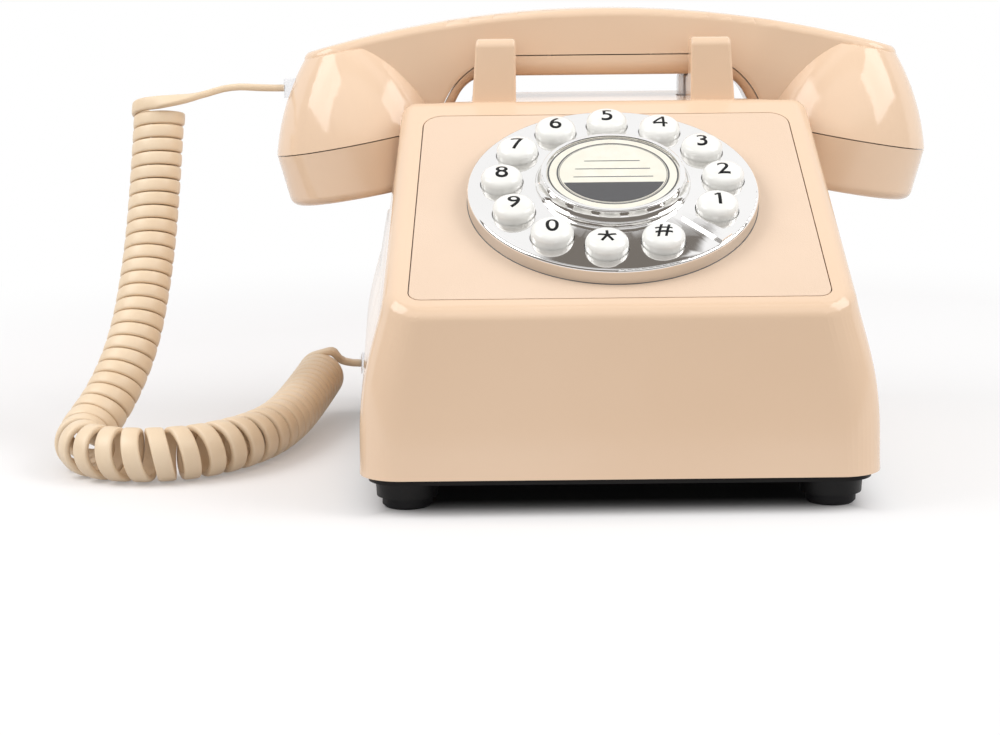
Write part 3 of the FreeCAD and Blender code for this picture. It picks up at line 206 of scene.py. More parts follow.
# finishes: two colours in patches, roughness that drifts in marks, fine grain and its depth, then plain
# sockets; patches, marks and grain are noise scales
finishLooks = {
    "shellBeige": {"colours": ((231, 202, 174), (228, 198, 169)), "patches": 9, "rough": (0.08, 0.13),
                   "marks": 16, "grain": 420, "depth": 0.000012},
    "panelBeige": {"colours": ((228, 203, 180), (225, 199, 175)), "patches": 12, "rough": (0.40, 0.48),
                   "marks": 30, "grain": 2600, "depth": 0.00007},
    "plateBlack": {"colours": ((15, 15, 16), (21, 20, 21)), "patches": 40, "rough": (0.38, 0.52),
                   "marks": 60, "grain": 1800, "depth": 0.00005, "sockets": {"Specular IOR Level": 0.25}},
    "footBlack": {"colours": ((17, 17, 20), (23, 23, 26)), "patches": 90, "rough": (0.5, 0.7),
                  "marks": 120, "grain": 1500, "depth": 0.00006, "sockets": {"Specular IOR Level": 0.3}},
    "dialChrome": {"colours": ((249, 248, 247), (244, 243, 242)), "patches": 20, "rough": (0.03, 0.06),
                   "marks": 40, "grain": 300, "depth": 0.000002, "sockets": {"Metallic": 1.0}},
    "keyWhite": {"colours": ((238, 237, 233), (234, 233, 228)), "patches": 60, "rough": (0.10, 0.16),
                 "marks": 80, "grain": 600, "depth": 0.000006},
    "digitInk": {"colours": ((18, 18, 20), (26, 26, 28)), "patches": 500, "rough": (0.5, 0.6),
                 "marks": 400, "grain": 3000, "depth": 0.00001, "sockets": {"Specular IOR Level": 0.2}},
    "cardCream": {"colours": ((236, 232, 219), (232, 227, 212)), "patches": 250, "rough": (0.5, 0.6),
                  "marks": 300, "grain": 5000, "depth": 0.00002},
    "cardInk": {"colours": ((66, 66, 68), (74, 74, 76)), "patches": 900, "rough": (0.45, 0.6),
                "marks": 600, "grain": 5000, "depth": 0.000002, "sockets": {"Specular IOR Level": 0.2}},
    "cordBeige": {"colours": ((231, 209, 180), (226, 202, 171)), "patches": 60, "rough": (0.36, 0.46),
                  "marks": 150, "grain": 900, "depth": 0.00003},
    "clearMoulding": {"colours": ((250, 250, 252), (244, 245, 248)), "patches": 60, "rough": (0.06, 0.14),
                      "marks": 90, "grain": 700, "depth": 0.00001,
                      "sockets": {"Transmission Weight": 0.9, "IOR": 1.15}},
    "plungerClear": {"colours": ((246, 246, 250), (240, 241, 246)), "patches": 60, "rough": (0.10, 0.16),
                     "marks": 90, "grain": 700, "depth": 0.00001, "sockets": {"Alpha": 0.35}},
    "softGrey": {"colours": ((120, 120, 120), (104, 104, 106)), "patches": 80, "rough": (0.6, 0.75),
                 "marks": 100, "grain": 1600, "depth": 0.00005},
    "boardGreen": {"colours": ((40, 108, 66), (26, 82, 52)), "patches": 320, "rough": (0.3, 0.45),
                   "marks": 200, "grain": 900, "depth": 0.00004},
    "zincSteel": {"colours": ((196, 197, 200), (172, 174, 178)), "patches": 160, "rough": (0.25, 0.4),
                  "marks": 220, "grain": 1200, "depth": 0.00002, "sockets": {"Metallic": 1.0}},
    "castIron": {"colours": ((92, 90, 88), (70, 68, 67)), "patches": 140, "rough": (0.55, 0.7),
                 "marks": 180, "grain": 700, "depth": 0.00012, "sockets": {"Metallic": 0.8}},
    "speakerBlack": {"colours": ((30, 30, 31), (44, 44, 45)), "patches": 200, "rough": (0.5, 0.65),
                     "marks": 200, "grain": 1400, "depth": 0.00008},
}


def makeFinish(name, look):
    material = bpy.data.materials.new(name)
    material.use_nodes = True
    tree = material.node_tree
    shader = tree.nodes["Principled BSDF"]
    tone = tree.nodes.new("ShaderNodeGroup")
    tone.node_tree = mouldedTone
    tone.inputs["Colour"].default_value = linear(look["colours"][0])
    tone.inputs["Deeper Colour"].default_value = linear(look["colours"][1])
    tone.inputs["Patches"].default_value = look["patches"]
    grain = tree.nodes.new("ShaderNodeGroup")
    grain.node_tree = skinGrain
    grain.inputs["Marks"].default_value = look["marks"]
    grain.inputs["Grain"].default_value = look["grain"]
    grain.inputs["Smooth"].default_value, grain.inputs["Rough"].default_value = look["rough"]
    bump = tree.nodes.new("ShaderNodeBump")
    bump.inputs["Distance"].default_value = look["depth"]
    tree.links.new(tone.outputs["Colour"], shader.inputs["Base Color"])
    tree.links.new(grain.outputs["Roughness"], shader.inputs["Roughness"])
    tree.links.new(grain.outputs["Height"], bump.inputs["Height"])
    tree.links.new(bump.outputs["Normal"], shader.inputs["Normal"])
    for socket, value in look.get("sockets", {}).items():
        shader.inputs[socket].default_value = value
    return material


finishes = {name: makeFinish(name, look) for name, look in finishLooks.items()}


# a thin clear cover: it mirrors by its angle and is otherwise see-through
lensLook = {"ior": 1.49, "backMirror": 0.0}


def makeLensFinish():
    material = makeFinish("lensClear", finishLooks["dialChrome"])
    tree = material.node_tree
    gloss = tree.nodes.new("ShaderNodeFresnel")
    gloss.inputs["IOR"].default_value = lensLook["ior"]
    side = tree.nodes.new("ShaderNodeNewGeometry")
    front = tree.nodes.new("ShaderNodeMix")
    front.inputs["B"].default_value = lensLook["backMirror"]
    tree.links.new(side.outputs["Backfacing"], front.inputs["Factor"])
    tree.links.new(gloss.outputs["Fac"], front.inputs["A"])
    tree.links.new(front.outputs["Result"], tree.nodes["Principled BSDF"].inputs["Alpha"])
    return material


finishes["lensClear"] = makeLensFinish()
slotFinishes = {
    "housing_gloss": "shellBeige", "panel_matte": "panelBeige", "base_black": "plateBlack",
    "foot_rubber": "footBlack", "dial_chrome": "dialChrome", "button_white": "keyWhite",
    "card_print": "cardCream", "clear_plastic": "clearMoulding", "cord_plastic": "cordBeige",
    "soft_rubber": "softGrey", "circuit_board": "boardGreen", "steel": "zincSteel",
    "iron_weight": "castIron", "speaker_black": "speakerBlack"}
nodeSlots = {row["node"]: row["material_slot"] for row in frame["record"]["subparts"]}
nodeBodies = {node: body for body, members in frame["record"]["behaviour"]["bodies"].items()
              for node in members}
for name, slot in nodeSlots.items():
    paint(nodes[name], finishes[slotFinishes[slot]])
paint(nodes["hook_plunger"], finishes["plungerClear"])
print("finishes:", len(finishes))


# the housing's sides swell a little between its foot and the lip
swellLook = {"low": 0.0115, "high": 0.0623, "reach": 0.0025, "power": 1.2, "inside": (0.050, 0.068),
             "cuts": 16}


def swellSides(skin):
    low, span = swellLook["low"], swellLook["high"] - swellLook["low"]
    editWhole(skin)
    for i in range(1, swellLook["cuts"]):
        bpy.ops.mesh.select_all(action="SELECT")
        bpy.ops.mesh.bisect(plane_co=(0, 0, low + span * i / swellLook["cuts"]), plane_no=(0, 0, 1))
    endEdit()
    start, full = swellLook["inside"]
    for v in skin.data.vertices:
        share = clamped((v.co.z - low) / span)
        side = clamped((abs(v.co.x) - start) / (full - start))
        swell = swellLook["reach"] * math.sin(math.pi * share) ** swellLook["power"]
        v.co.x += math.copysign(swell * side, v.co.x)


# smooth skins: welded copies of the CAD nodes whose gloss shows every facet
skinLook = {"weld": 0.000002, "sharpAngle": 32, "flatWeight": 50}
buttonNodes = [node for node in nodes if node.startswith("button_")]
skinNodes = ["upper_housing", "face_panel", "handset_upper_shell", "handset_lower_shell", "dial_bezel",
             "dial_hub", "finger_stop", "base_plate", "hook_plunger", "cord_plug_base", "cord_plug_handset",
             "foot_front_left", "foot_front_right", "foot_rear_left", "foot_rear_right"] + buttonNodes


def makeSkin(node):
    skin = bpy.data.objects.new(node + ".skin", nodes[node].data.copy())
    bpy.context.scene.collection.objects.link(skin)
    selectOnly(skin)
    bpy.ops.mesh.customdata_custom_splitnormals_clear()
    editWhole(skin)
    bpy.ops.mesh.remove_doubles(threshold=skinLook["weld"])
    endEdit()
    if node == "upper_housing":
        swellSides(skin)
    smoothPiece(skin, skinLook["sharpAngle"])
    applyModifier(skin, "WEIGHTED_NORMAL", keep_sharp=True, weight=skinLook["flatWeight"])
    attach(skin, nodeBodies[node])
    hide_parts(node)
    return skin


skins = {node: makeSkin(node) for node in skinNodes}
print("skins:", len(skins))


# the dial's own axes: X right, Y up the slope, Z out of the panel
pressAxis = Vector(next(j["axis"] for j in frame["joints"] if j["name"] == "button_5_press"))
dialOut = -pressAxis.normalized()
dialUp = dialOut.cross(Vector((1, 0, 0)))
dialTurn = Matrix(((1, dialUp.x, dialOut.x), (0, dialUp.y, dialOut.y), (0, dialUp.z, dialOut.z)))


def seenOnDial(point):
    # a point of the part, in the turned axes
    return dialTurn.transposed() @ point


def dialSpot(node):
    # centre and top of a round dial node, in the turned axes
    points = [seenOnDial(v.co) for v in nodes[node].data.vertices]
    low = [min(p[i] for p in points) for i in range(3)]
    high = [max(p[i] for p in points) for i in range(3)]
    return Vector(((low[0] + high[0]) / 2, (low[1] + high[1]) / 2, high[2]))


def setOnDial(piece, spot):
    piece.data.transform(Matrix.Translation(dialTurn @ spot) @ dialTurn.to_4x4())
    piece.data.update()


def turnedPiece(name, profile, sides):
    # a circle drawn up ring by ring, then closed: over its ends, or onto its first ring
    bpy.ops.object.select_all(action="DESELECT")
    radius, height = profile[0]
    bpy.ops.mesh.primitive_circle_add(vertices=sides, radius=radius, fill_type="NOTHING",
                                      location=(0, 0, height))
    piece = bpy.context.object
    piece.name = name
    bpy.ops.object.transform_apply(location=True, rotation=False, scale=False)
    editWhole(piece)
    for nextRadius, nextHeight in profile[1:]:
        bpy.ops.mesh.extrude_region_move(TRANSFORM_OT_translate={"value": (0, 0, nextHeight - height)})
        size = nextRadius / radius
        bpy.ops.transform.resize(value=(size, size, 1), center_override=(0, 0, nextHeight))
        radius, height = nextRadius, nextHeight
    bpy.ops.mesh.select_all(action="SELECT")
    if profile[0] == profile[-1]:
        bpy.ops.mesh.remove_doubles(threshold=weldGap)
    else:
        bpy.ops.mesh.fill_holes(sides=0)
    bpy.ops.mesh.select_all(action="SELECT")
    bpy.ops.mesh.normals_make_consistent(inside=False)
    endEdit()
    return piece


def flatRing(name, outer, width, rise, sides):
    inner = outer - width
    return turnedPiece(name, [(outer, 0), (outer, rise), (inner, rise), (inner, 0), (outer, 0)], sides)


def finishPiece(piece, finish, slot, body, *replaced):
    paint(piece, finishes[finish])
    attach(piece, body)
    if replaced:
        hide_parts(*replaced)


# under the dial: a thin dark ring of painted shade round the bezel's foot, painted shade on the bezel's wall, and
# room for the buttons' flanges
dialFootLook = {"proud": 0.00012, "shadeRingWidth": 0.0006, "shadeRingHeight": 0.0002, "sides": 200,
                "wallShadeTone": (214, 211, 207), "wallShadeTop": (0.0040, 0.0046), "flangeFrom": 0.0072,
                "flangeTrim": 0.975}


def bezelFoot():
    # the spot at the foot of the bezel's wall, and the wall's radius
    spot = dialSpot("dial_bezel")
    rings = []
    for v in nodes["dial_bezel"].data.vertices:
        seen = seenOnDial(v.co)
        rings.append((math.hypot(seen.x - spot.x, seen.y - spot.y), seen.z))
    wall = max(rings)[0]
    spot.z = min(height for reach, height in rings if reach > wall - dialFootLook["proud"])
    return spot, wall


def makeFootShadeRing(spot, wall):
    # the ring is painted shade: a dark line along the bezel's foot where the chrome meets the panel
    footShadeRing = flatRing("bezelFootShade", wall + dialFootLook["proud"], dialFootLook["shadeRingWidth"],
                      dialFootLook["shadeRingHeight"], dialFootLook["sides"])
    setOnDial(footShadeRing, spot)
    finishPiece(footShadeRing, "softGrey", "soft_rubber", "base")


def shadeBezelWall(foot):
    # painted shade: the chrome's base colour is greyer on the wall below the rim
    tree = finishes["dialChrome"].node_tree
    place = tree.nodes.new("ShaderNodeTexCoord")
    rising = vectorNode(tree, "DOT_PRODUCT", place.outputs["Object"], dialOut)["Value"]
    ramp = spreadNode(tree, rising, [foot + edge for edge in dialFootLook["wallShadeTop"]])
    share, first, second, result = colourMix(tree)
    shade = tree.nodes["Principled BSDF"].inputs["Base Color"]
    first.default_value = linear(dialFootLook["wallShadeTone"])
    tree.links.new(ramp.outputs["Result"], share)
    tree.links.new(shade.links[0].from_socket, second)
    tree.links.new(result, shade)


def trimFlanges():
    # each flange passes the panel's opening with a little play
    for node in buttonNodes:
        centre = dialSpot(node)
        for v in skins[node].data.vertices:
            seen = seenOnDial(v.co)
            away = Vector((seen.x - centre.x, seen.y - centre.y, 0))
            if away.length > dialFootLook["flangeFrom"]:
                v.co -= dialTurn @ (away * (1 - dialFootLook["flangeTrim"]))


footSpot, bezelWall = bezelFoot()
makeFootShadeRing(footSpot, bezelWall)
shadeBezelWall(footSpot.z)
trimFlanges()
print("dial foot done")


# centre card and its lens
# the outermost ink ring, at the card's edge, is painted shade and painted reflection of the hub's inner wall; the
# two inner rings are print
cardLook = {"radius": 0.02095, "thick": 0.00028, "edgeShare": 0.2, "sides": 160, "inkRise": 0.00003,
            "rings": {"cardEdgeShade": (0.0206, 0.0005), "cardRing": (0.01775, 0.0005),
                      "cardHairline": (0.01705, 0.00018)},
            "bandTop": -0.0052, "bandRadius": 0.0165, "ruleHalf": (0.0088, 0.0118, 0.0125),
            "ruleHeights": (0.0072, 0.0026, -0.0020), "ruleWidth": 0.00042, "lensEdge": 0.00045,
            "lensMiddle": 0.00072, "lensGap": 0.00008, "lensRings": 8, "lensSpan": 8.5, "lensAngle": 25}


def cutFoot():
    # the plain dark foot of the card: a disc cut straight across
    radius = cardLook["bandRadius"]
    foot = turnedPiece("cardFoot", [(radius, 0), (radius, cardLook["inkRise"])], cardLook["sides"])
    editWhole(foot)
    bpy.ops.mesh.bisect(plane_co=(0, cardLook["bandTop"], 0), plane_no=(0, 1, 0), use_fill=True,
                        clear_outer=True)
    endEdit()
    return foot


def ruledLine(name, half, height):
    bpy.ops.object.select_all(action="DESELECT")
    bpy.ops.mesh.primitive_plane_add(size=1, location=(0, height, cardLook["inkRise"] / 2))
    rule = bpy.context.object
    rule.name = name
    rule.scale = (2 * half, cardLook["ruleWidth"], 1)
    bpy.ops.object.transform_apply(location=True, rotation=False, scale=True)
    applyModifier(rule, "SOLIDIFY", thickness=cardLook["inkRise"], offset=0)
    return rule


def makeCard(spot):
    radius, thick, sides = cardLook["radius"], cardLook["thick"], cardLook["sides"]
    profile = [(radius, -thick), (radius, -thick * cardLook["edgeShare"]), (radius - thick, 0)]
    card = turnedPiece("cardDisc", profile, sides)
    setOnDial(card, spot)
    finishPiece(card, "cardCream", "card_print", "base", "dial_card")
    prints = [flatRing(name, outer, width, cardLook["inkRise"], sides)
              for name, (outer, width) in cardLook["rings"].items()]
    prints.append(cutFoot())
    for i, (half, height) in enumerate(zip(cardLook["ruleHalf"], cardLook["ruleHeights"])):
        prints.append(ruledLine("cardRule%d" % (i + 1), half, height))
    for ink in prints:
        setOnDial(ink, spot)
        finishPiece(ink, "cardInk", "card_print", "base")


def makeLens(spot):
    # flat below, crowned above
    radius, edge, middle = cardLook["radius"], cardLook["lensEdge"], cardLook["lensMiddle"]
    profile = [(radius, cardLook["lensGap"]), (radius, edge)]
    for i in range(cardLook["lensRings"]):
        share = 1 - (i + 1) / cardLook["lensSpan"]
        profile.append((radius * share, middle - (middle - edge) * share ** 2))
    lens = turnedPiece("cardLens", profile, cardLook["sides"])
    smoothPiece(lens, cardLook["lensAngle"])
    setOnDial(lens, spot)
    finishPiece(lens, "lensClear", "clear_plastic", "base", "dial_lens")


cardSpot = dialSpot("dial_card")
makeCard(cardSpot)
makeLens(cardSpot)
print("card done")


# the figures printed on the buttons
digitLook = {"size": 0.0088, "heavier": 0.00009, "textSteps": 5, "capRadius": 0.0044, "crown": 0.0008,
             "rise": 0.00003, "thick": 0.00006, "splits": 3, "starReach": 0.0029, "starWidth": 0.0009,
             "starAngles": (90, 162, 234, 306, 18), "flagLength": 0.0016, "flagWidth": 0.0009, "flagLean": 35,
             "flagCorner": (0.4, 0.55), "fourWidth": 0.00085, "fourHeight": 0.0062, "fourFoot": 0.0019,
             "fourStem": 0.0008, "fourLeft": -0.0025, "fourRight": 0.0021, "fourTuck": 0.25}
digitNodes = {"button_star": "*", "button_hash": "#", **{"button_%d" % i: "%d" % i for i in range(10)}}


def bar(length, width, angle, start):
    # a flat bar that runs from its start at an angle
    bpy.ops.object.select_all(action="DESELECT")
    bpy.ops.mesh.primitive_plane_add(size=1, location=(0, 0, 0))
    piece = bpy.context.object
    turn = Matrix.Rotation(math.radians(angle), 4, "Z")
    piece.data.transform(Matrix.Translation(start) @ turn @ Matrix.Translation((length / 2, 0, 0))
                         @ Matrix.Diagonal((length, width, 1, 1)))
    return piece


def joinPieces(pieces):
    selectOnly(pieces[0])
    for piece in pieces[1:]:
        piece.select_set(True)
    bpy.ops.object.join()
    return pieces[0]


def starShape():
    return joinPieces([bar(digitLook["starReach"], digitLook["starWidth"], angle, (0, 0, 0))
                       for angle in digitLook["starAngles"]])


def fourShape():
    stem, left, width = digitLook["fourStem"], digitLook["fourLeft"], digitLook["fourWidth"]
    run, climb = stem - left, digitLook["fourHeight"] - digitLook["fourFoot"] - width
    upright = bar(digitLook["fourHeight"], width, 90, (stem, -digitLook["fourFoot"], 0))
    level = bar(digitLook["fourRight"] - left, width, 0, (left, 0, 0))
    slope = bar(math.hypot(run, climb), width, math.degrees(math.atan2(climb, run)),
                (left, width * digitLook["fourTuck"], 0))
    return joinPieces([upright, level, slope])


def textShape(sign):
    bpy.ops.object.select_all(action="DESELECT")
    bpy.ops.object.text_add(location=(0, 0, 0))
    text = bpy.context.object
    text.data.body = sign
    text.data.size = digitLook["size"]
    text.data.offset = digitLook["heavier"]
    text.data.resolution_u = digitLook["textSteps"]
    bpy.ops.object.convert(target="MESH")
    return bpy.context.object


def addFlag(shape):
    # the slanted flag of the 1
    low = min(v.co.x for v in shape.data.vertices)
    high = max(v.co.y for v in shape.data.vertices)
    width, (right, down) = digitLook["flagWidth"], digitLook["flagCorner"]
    corner = (low + width * right, high - width * down, 0)
    return joinPieces([shape, bar(digitLook["flagLength"], width, 180 + digitLook["flagLean"], corner)])


def digitShape(sign):
    if sign == "*":
        return starShape()
    if sign == "4":
        return fourShape()
    shape = textShape(sign)
    return addFlag(shape) if sign == "1" else shape


def makeDigit(node, sign):
    # laid on the cap's crown, which is part of a ball
    shape = digitShape(sign)
    editWhole(shape)
    bpy.ops.mesh.remove_doubles(threshold=weldGap)
    bpy.ops.mesh.quads_convert_to_tris()
    bpy.ops.mesh.subdivide(number_cuts=digitLook["splits"])
    endEdit()
    corners = [v.co for v in shape.data.vertices]
    middle = [(min(c[i] for c in corners) + max(c[i] for c in corners)) / 2 for i in range(2)]
    cap, crown = digitLook["capRadius"], digitLook["crown"]
    ball = (cap ** 2 + crown ** 2) / (2 * crown)
    for v in shape.data.vertices:
        x, y = v.co.x - middle[0], v.co.y - middle[1]
        v.co = (x, y, math.sqrt(ball ** 2 - x * x - y * y) - ball + digitLook["rise"])
    applyModifier(shape, "SOLIDIFY", thickness=digitLook["thick"], offset=-1)
    setOnDial(shape, dialSpot(node))
    shape.name = node.replace("button", "digit")
    finishPiece(shape, "digitInk", "button_white", nodeBodies[node])


for node, sign in digitNodes.items():
    makeDigit(node, sign)
print("digits:", len(digitNodes))


# curly handset cord: a flat band wound round a route, with a lead at each end
cordLook = {
    "axis": [(-0.1553, 0.0445, 0.1145), (-0.1566, 0.037, 0.088), (-0.1583, 0.0245, 0.061),
             (-0.1615, 0.0095, 0.037), (-0.168, -0.004, 0.020), (-0.175, -0.017, 0.0105),
             (-0.174, -0.031, 0.0092), (-0.164, -0.041, 0.0092), (-0.149, -0.045, 0.0093),
             (-0.133, -0.039, 0.0092), (-0.1200, -0.024, 0.0093), (-0.1120, -0.002, 0.0092),
             (-0.1065, 0.030, 0.0110), (-0.1018, 0.0680, 0.0155)],
    "pitches": [(0, 0.0049), (0.095, 0.0049), (0.150, 0.0074), (0.215, 0.0074), (0.250, 0.0048),
                (0.400, 0.0048)],
    "lead": [(-0.130, 0.0455, 0.1219), (-0.141, 0.041, 0.1186)],
    "handsetEnd": (-0.11117, 0.04699, 0.1209), "baseEnd": (-0.08774, 0.0685, 0.018),
    "leadStraight": 0.0072, "curlStraight": 0.005, "radius": 0.0076, "gap": 0.0004, "endFlare": 0.14,
    "width": 0.0044, "widest": 0.0058, "thick": 0.0024, "square": 4.2, "corners": 16, "sharpAngle": 60,
    "perTurn": 12, "axisSteps": 40, "cordSteps": 4, "splineOrder": 3, "bendSteps": 6}


def splinePoints(points, steps):
    # points read from a smooth NURBS spline that follows the route
    curve = bpy.data.curves.new("route", "CURVE")
    curve.dimensions = "3D"
    curve.resolution_u = steps
    spline = curve.splines.new("NURBS")
    spline.points.add(len(points) - 1)
    for knot, point in zip(spline.points, points):
        knot.co = (point[0], point[1], point[2], 1)
    spline.order_u = cordLook["splineOrder"]
    spline.use_endpoint_u = True
    spline.resolution_u = steps
    holder = bpy.data.objects.new("route", curve)
    bpy.context.scene.collection.objects.link(holder)
    mesh = bpy.data.meshes.new_from_object(holder)
    read = [v.co.copy() for v in mesh.vertices]
    bpy.data.objects.remove(holder)
    bpy.data.curves.remove(curve)
    bpy.data.meshes.remove(mesh)
    return read


def pitchAt(distance, bend):
    # the chosen pitch, opened where the axis bends
    pitches = cordLook["pitches"]
    pitch = pitches[-1][1]
    for (d0, p0), (d1, p1) in zip(pitches, pitches[1:]):
        if d0 <= distance < d1:
            pitch = p0 + (p1 - p0) * (distance - d0) / (d1 - d0)
    return max(pitch, (cordLook["width"] + cordLook["gap"]) / (1 - cordLook["radius"] * bend))


def curlRoute():
    # control points of the curls, each with the direction of the band's width there and that width
    axis = splinePoints(cordLook["axis"], cordLook["axisSteps"])
    count = len(axis)
    alongs = [(axis[min(i + 1, count - 1)] - axis[max(i - 1, 0)]).normalized() for i in range(count)]
    sides, side = [], Vector((0, -1, 0))
    for along in alongs:
        side = (side - along * side.dot(along)).normalized()
        sides.append(side)
    phases, spreads, distance = [0.0], [], 0.0
    for i in range(count - 1):
        step = (axis[i + 1] - axis[i]).length
        low, high = max(i - cordLook["bendSteps"], 0), min(i + 1 + cordLook["bendSteps"], count - 1)
        bend = (alongs[high] - alongs[low]) / sum((axis[k + 1] - axis[k]).length for k in range(low, high))
        pitch = pitchAt(distance + step / 2, bend.length)
        phases.append(phases[-1] + 2 * math.pi * step / pitch)
        spreads.append((pitch, bend))
        distance += step
    top = math.atan2(alongs[-1].cross(sides[-1]).z, sides[-1].z)  # the last curl ends on top
    end = phases[-1] - (phases[-1] - top) % (2 * math.pi)
    total = round(end / (2 * math.pi) * cordLook["perTurn"])
    stepAngle = end / total
    reach = cordLook["radius"] * 4 / (3 + math.cos(stepAngle))  # the spline runs inside its control points
    route, i = [], 0
    for k in range(total + 1):
        phase = stepAngle * k
        while i < count - 2 and phases[i + 1] < phase:
            i += 1
        share = min((phase - phases[i]) / (phases[i + 1] - phases[i]), 1.0)
        centre = axis[i].lerp(axis[i + 1], share)
        side = sides[i].lerp(sides[i + 1], share).normalized()
        along = alongs[i].lerp(alongs[i + 1], share).normalized()
        around = along.cross(side)
        out = side * math.cos(phase) + around * math.sin(phase)
        flare = 1 + cordLook["endFlare"] * max(1 - phase / (2 * math.pi), 0)
        pitch, bend = spreads[i]
        room = pitch * (1 - cordLook["radius"] * bend.dot(out)) - cordLook["gap"]
        width = min(max(room, cordLook["width"]), cordLook["widest"])
        route.append((centre + out * reach * flare, along, width))
    return route


def cordRoute():
    route = curlRoute()
    straight, curl = cordLook["leadStraight"], cordLook["curlStraight"]
    handsetEnd, baseEnd = Vector(cordLook["handsetEnd"]), Vector(cordLook["baseEnd"])
    flat = Vector((0, -1, 0))  # the leads lie flat
    first = route[0][0] + (route[0][0] - route[1][0]).normalized() * curl
    last = route[-1][0] + (route[-1][0] - route[-2][0]).normalized() * curl
    width = cordLook["width"]
    start = [(handsetEnd, flat, width), (handsetEnd - Vector((straight, 0, 0)), flat, width)]
    start += [(Vector(p), flat, width) for p in cordLook["lead"]]
    start.append((first, (flat + route[0][1]).normalized(), width))
    finish = [(last, route[-1][1], width), (baseEnd - Vector((straight, 0, 0)), -flat, width),
              (baseEnd, -flat, width)]
    return start + route + finish


def bandSection():
    # corners of the band's section: across it in widths, through it in metres
    power, half = 2 / cordLook["square"], cordLook["thick"] / 2
    section = []
    for k in range(cordLook["corners"]):
        angle = 2 * math.pi * k / cordLook["corners"]
        c, s = math.cos(angle), math.sin(angle)
        section.append((math.copysign(abs(c) ** power, c) / 2, math.copysign(abs(s) ** power, s) * half))
    return section


def bandMesh(route, path):
    # the section set along the path, which meets its control points' line half way along each step
    section, count = bandSection(), len(path)
    n = len(section)
    verts, faces = [], []
    for j, point in enumerate(path):
        along = (path[min(j + 1, count - 1)] - path[max(j - 1, 0)]).normalized()
        place = j / (count - 1) * (len(route) - 2) + 0.5
        i = int(place)
        across = route[i][1].lerp(route[i + 1][1], place - i)
        across = (across - along * across.dot(along)).normalized()
        through = along.cross(across)
        width = route[i][2] + (route[i + 1][2] - route[i][2]) * (place - i)
        verts += [point + across * w * width + through * t for w, t in section]
    for j in range(count - 1):
        for k in range(n):
            a, b = j * n + k, j * n + (k + 1) % n
            faces.append((a, b, b + n, a + n))
    faces += [tuple(range(n))[::-1], tuple(range((count - 1) * n, count * n))]
    mesh = bpy.data.meshes.new("handsetCord")
    mesh.from_pydata(verts, [], faces)
    return mesh


def makeCord():
    route = cordRoute()
    path = splinePoints([point for point, across, width in route], cordLook["cordSteps"])
    cord = bpy.data.objects.new("handsetCord", bandMesh(route, path))
    bpy.context.scene.collection.objects.link(cord)
    editWhole(cord)
    bpy.ops.mesh.normals_make_consistent(inside=False)
    endEdit()
    smoothPiece(cord, cordLook["sharpAngle"])
    paint(cord, finishes["cordBeige"])
    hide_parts("handset_cord")
    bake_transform(cord)


makeCord()


# helpers for the stage's shaders
roomDark, plainWhite = (0.20, 0.18, 0.16, 1), (1, 1, 1, 1)


def mathNode(tree, operation, first, second):
    node = tree.nodes.new("ShaderNodeMath")
    node.operation = operation
    tree.links.new(first, node.inputs[0])
    tree.links.new(second, node.inputs[1])
    return node.outputs[0]


def rampNode(tree, value, edges, levels=(0, 1)):
    # a soft step between two levels
    node = spreadNode(tree, value, edges)
    node.interpolation_type = "SMOOTHSTEP"
    node.inputs["To Min"].default_value, node.inputs["To Max"].default_value = levels
    return node.outputs["Result"]


def splitNode(tree, vector):
    node = tree.nodes.new("ShaderNodeSeparateXYZ")
    tree.links.new(vector, node.inputs[0])
    return node.outputs


def glowNode(tree, kind, colour, strength=1.0):
    node = tree.nodes.new(kind)
    node.inputs["Color"].default_value = colour
    node.inputs["Strength"].default_value = strength
    return node.outputs[0]


def mixShaders(tree, share, first, second):
    node = tree.nodes.new("ShaderNodeMixShader")
    tree.links.new(share, node.inputs[0])
    tree.links.new(first, node.inputs[1])
    tree.links.new(second, node.inputs[2])
    return node.outputs[0]


# floor: a white sheet with its shadow, a painted shadow under the part and painted light beside it; far off it is
# seen as plain white, and in front the part sees it end
floorLook = {"radius": 8.0, "sides": 96, "colour": (243, 241, 241), "rough": 0.6, "specular": 0.1,
             "fade": (0.20, 0.5), "paintedLightLevels": (0.20, 0.62), "paintedLightSpan": (-0.13, 0.13),
             "planStretch": (1.17, 1, 1), "footprint": (0.079, 0.100), "shadeEdge": (0.070, 0.090),
             "shade": 0.02, "frontEdge": (-0.27, -0.34), "bounceLoss": 0.42}


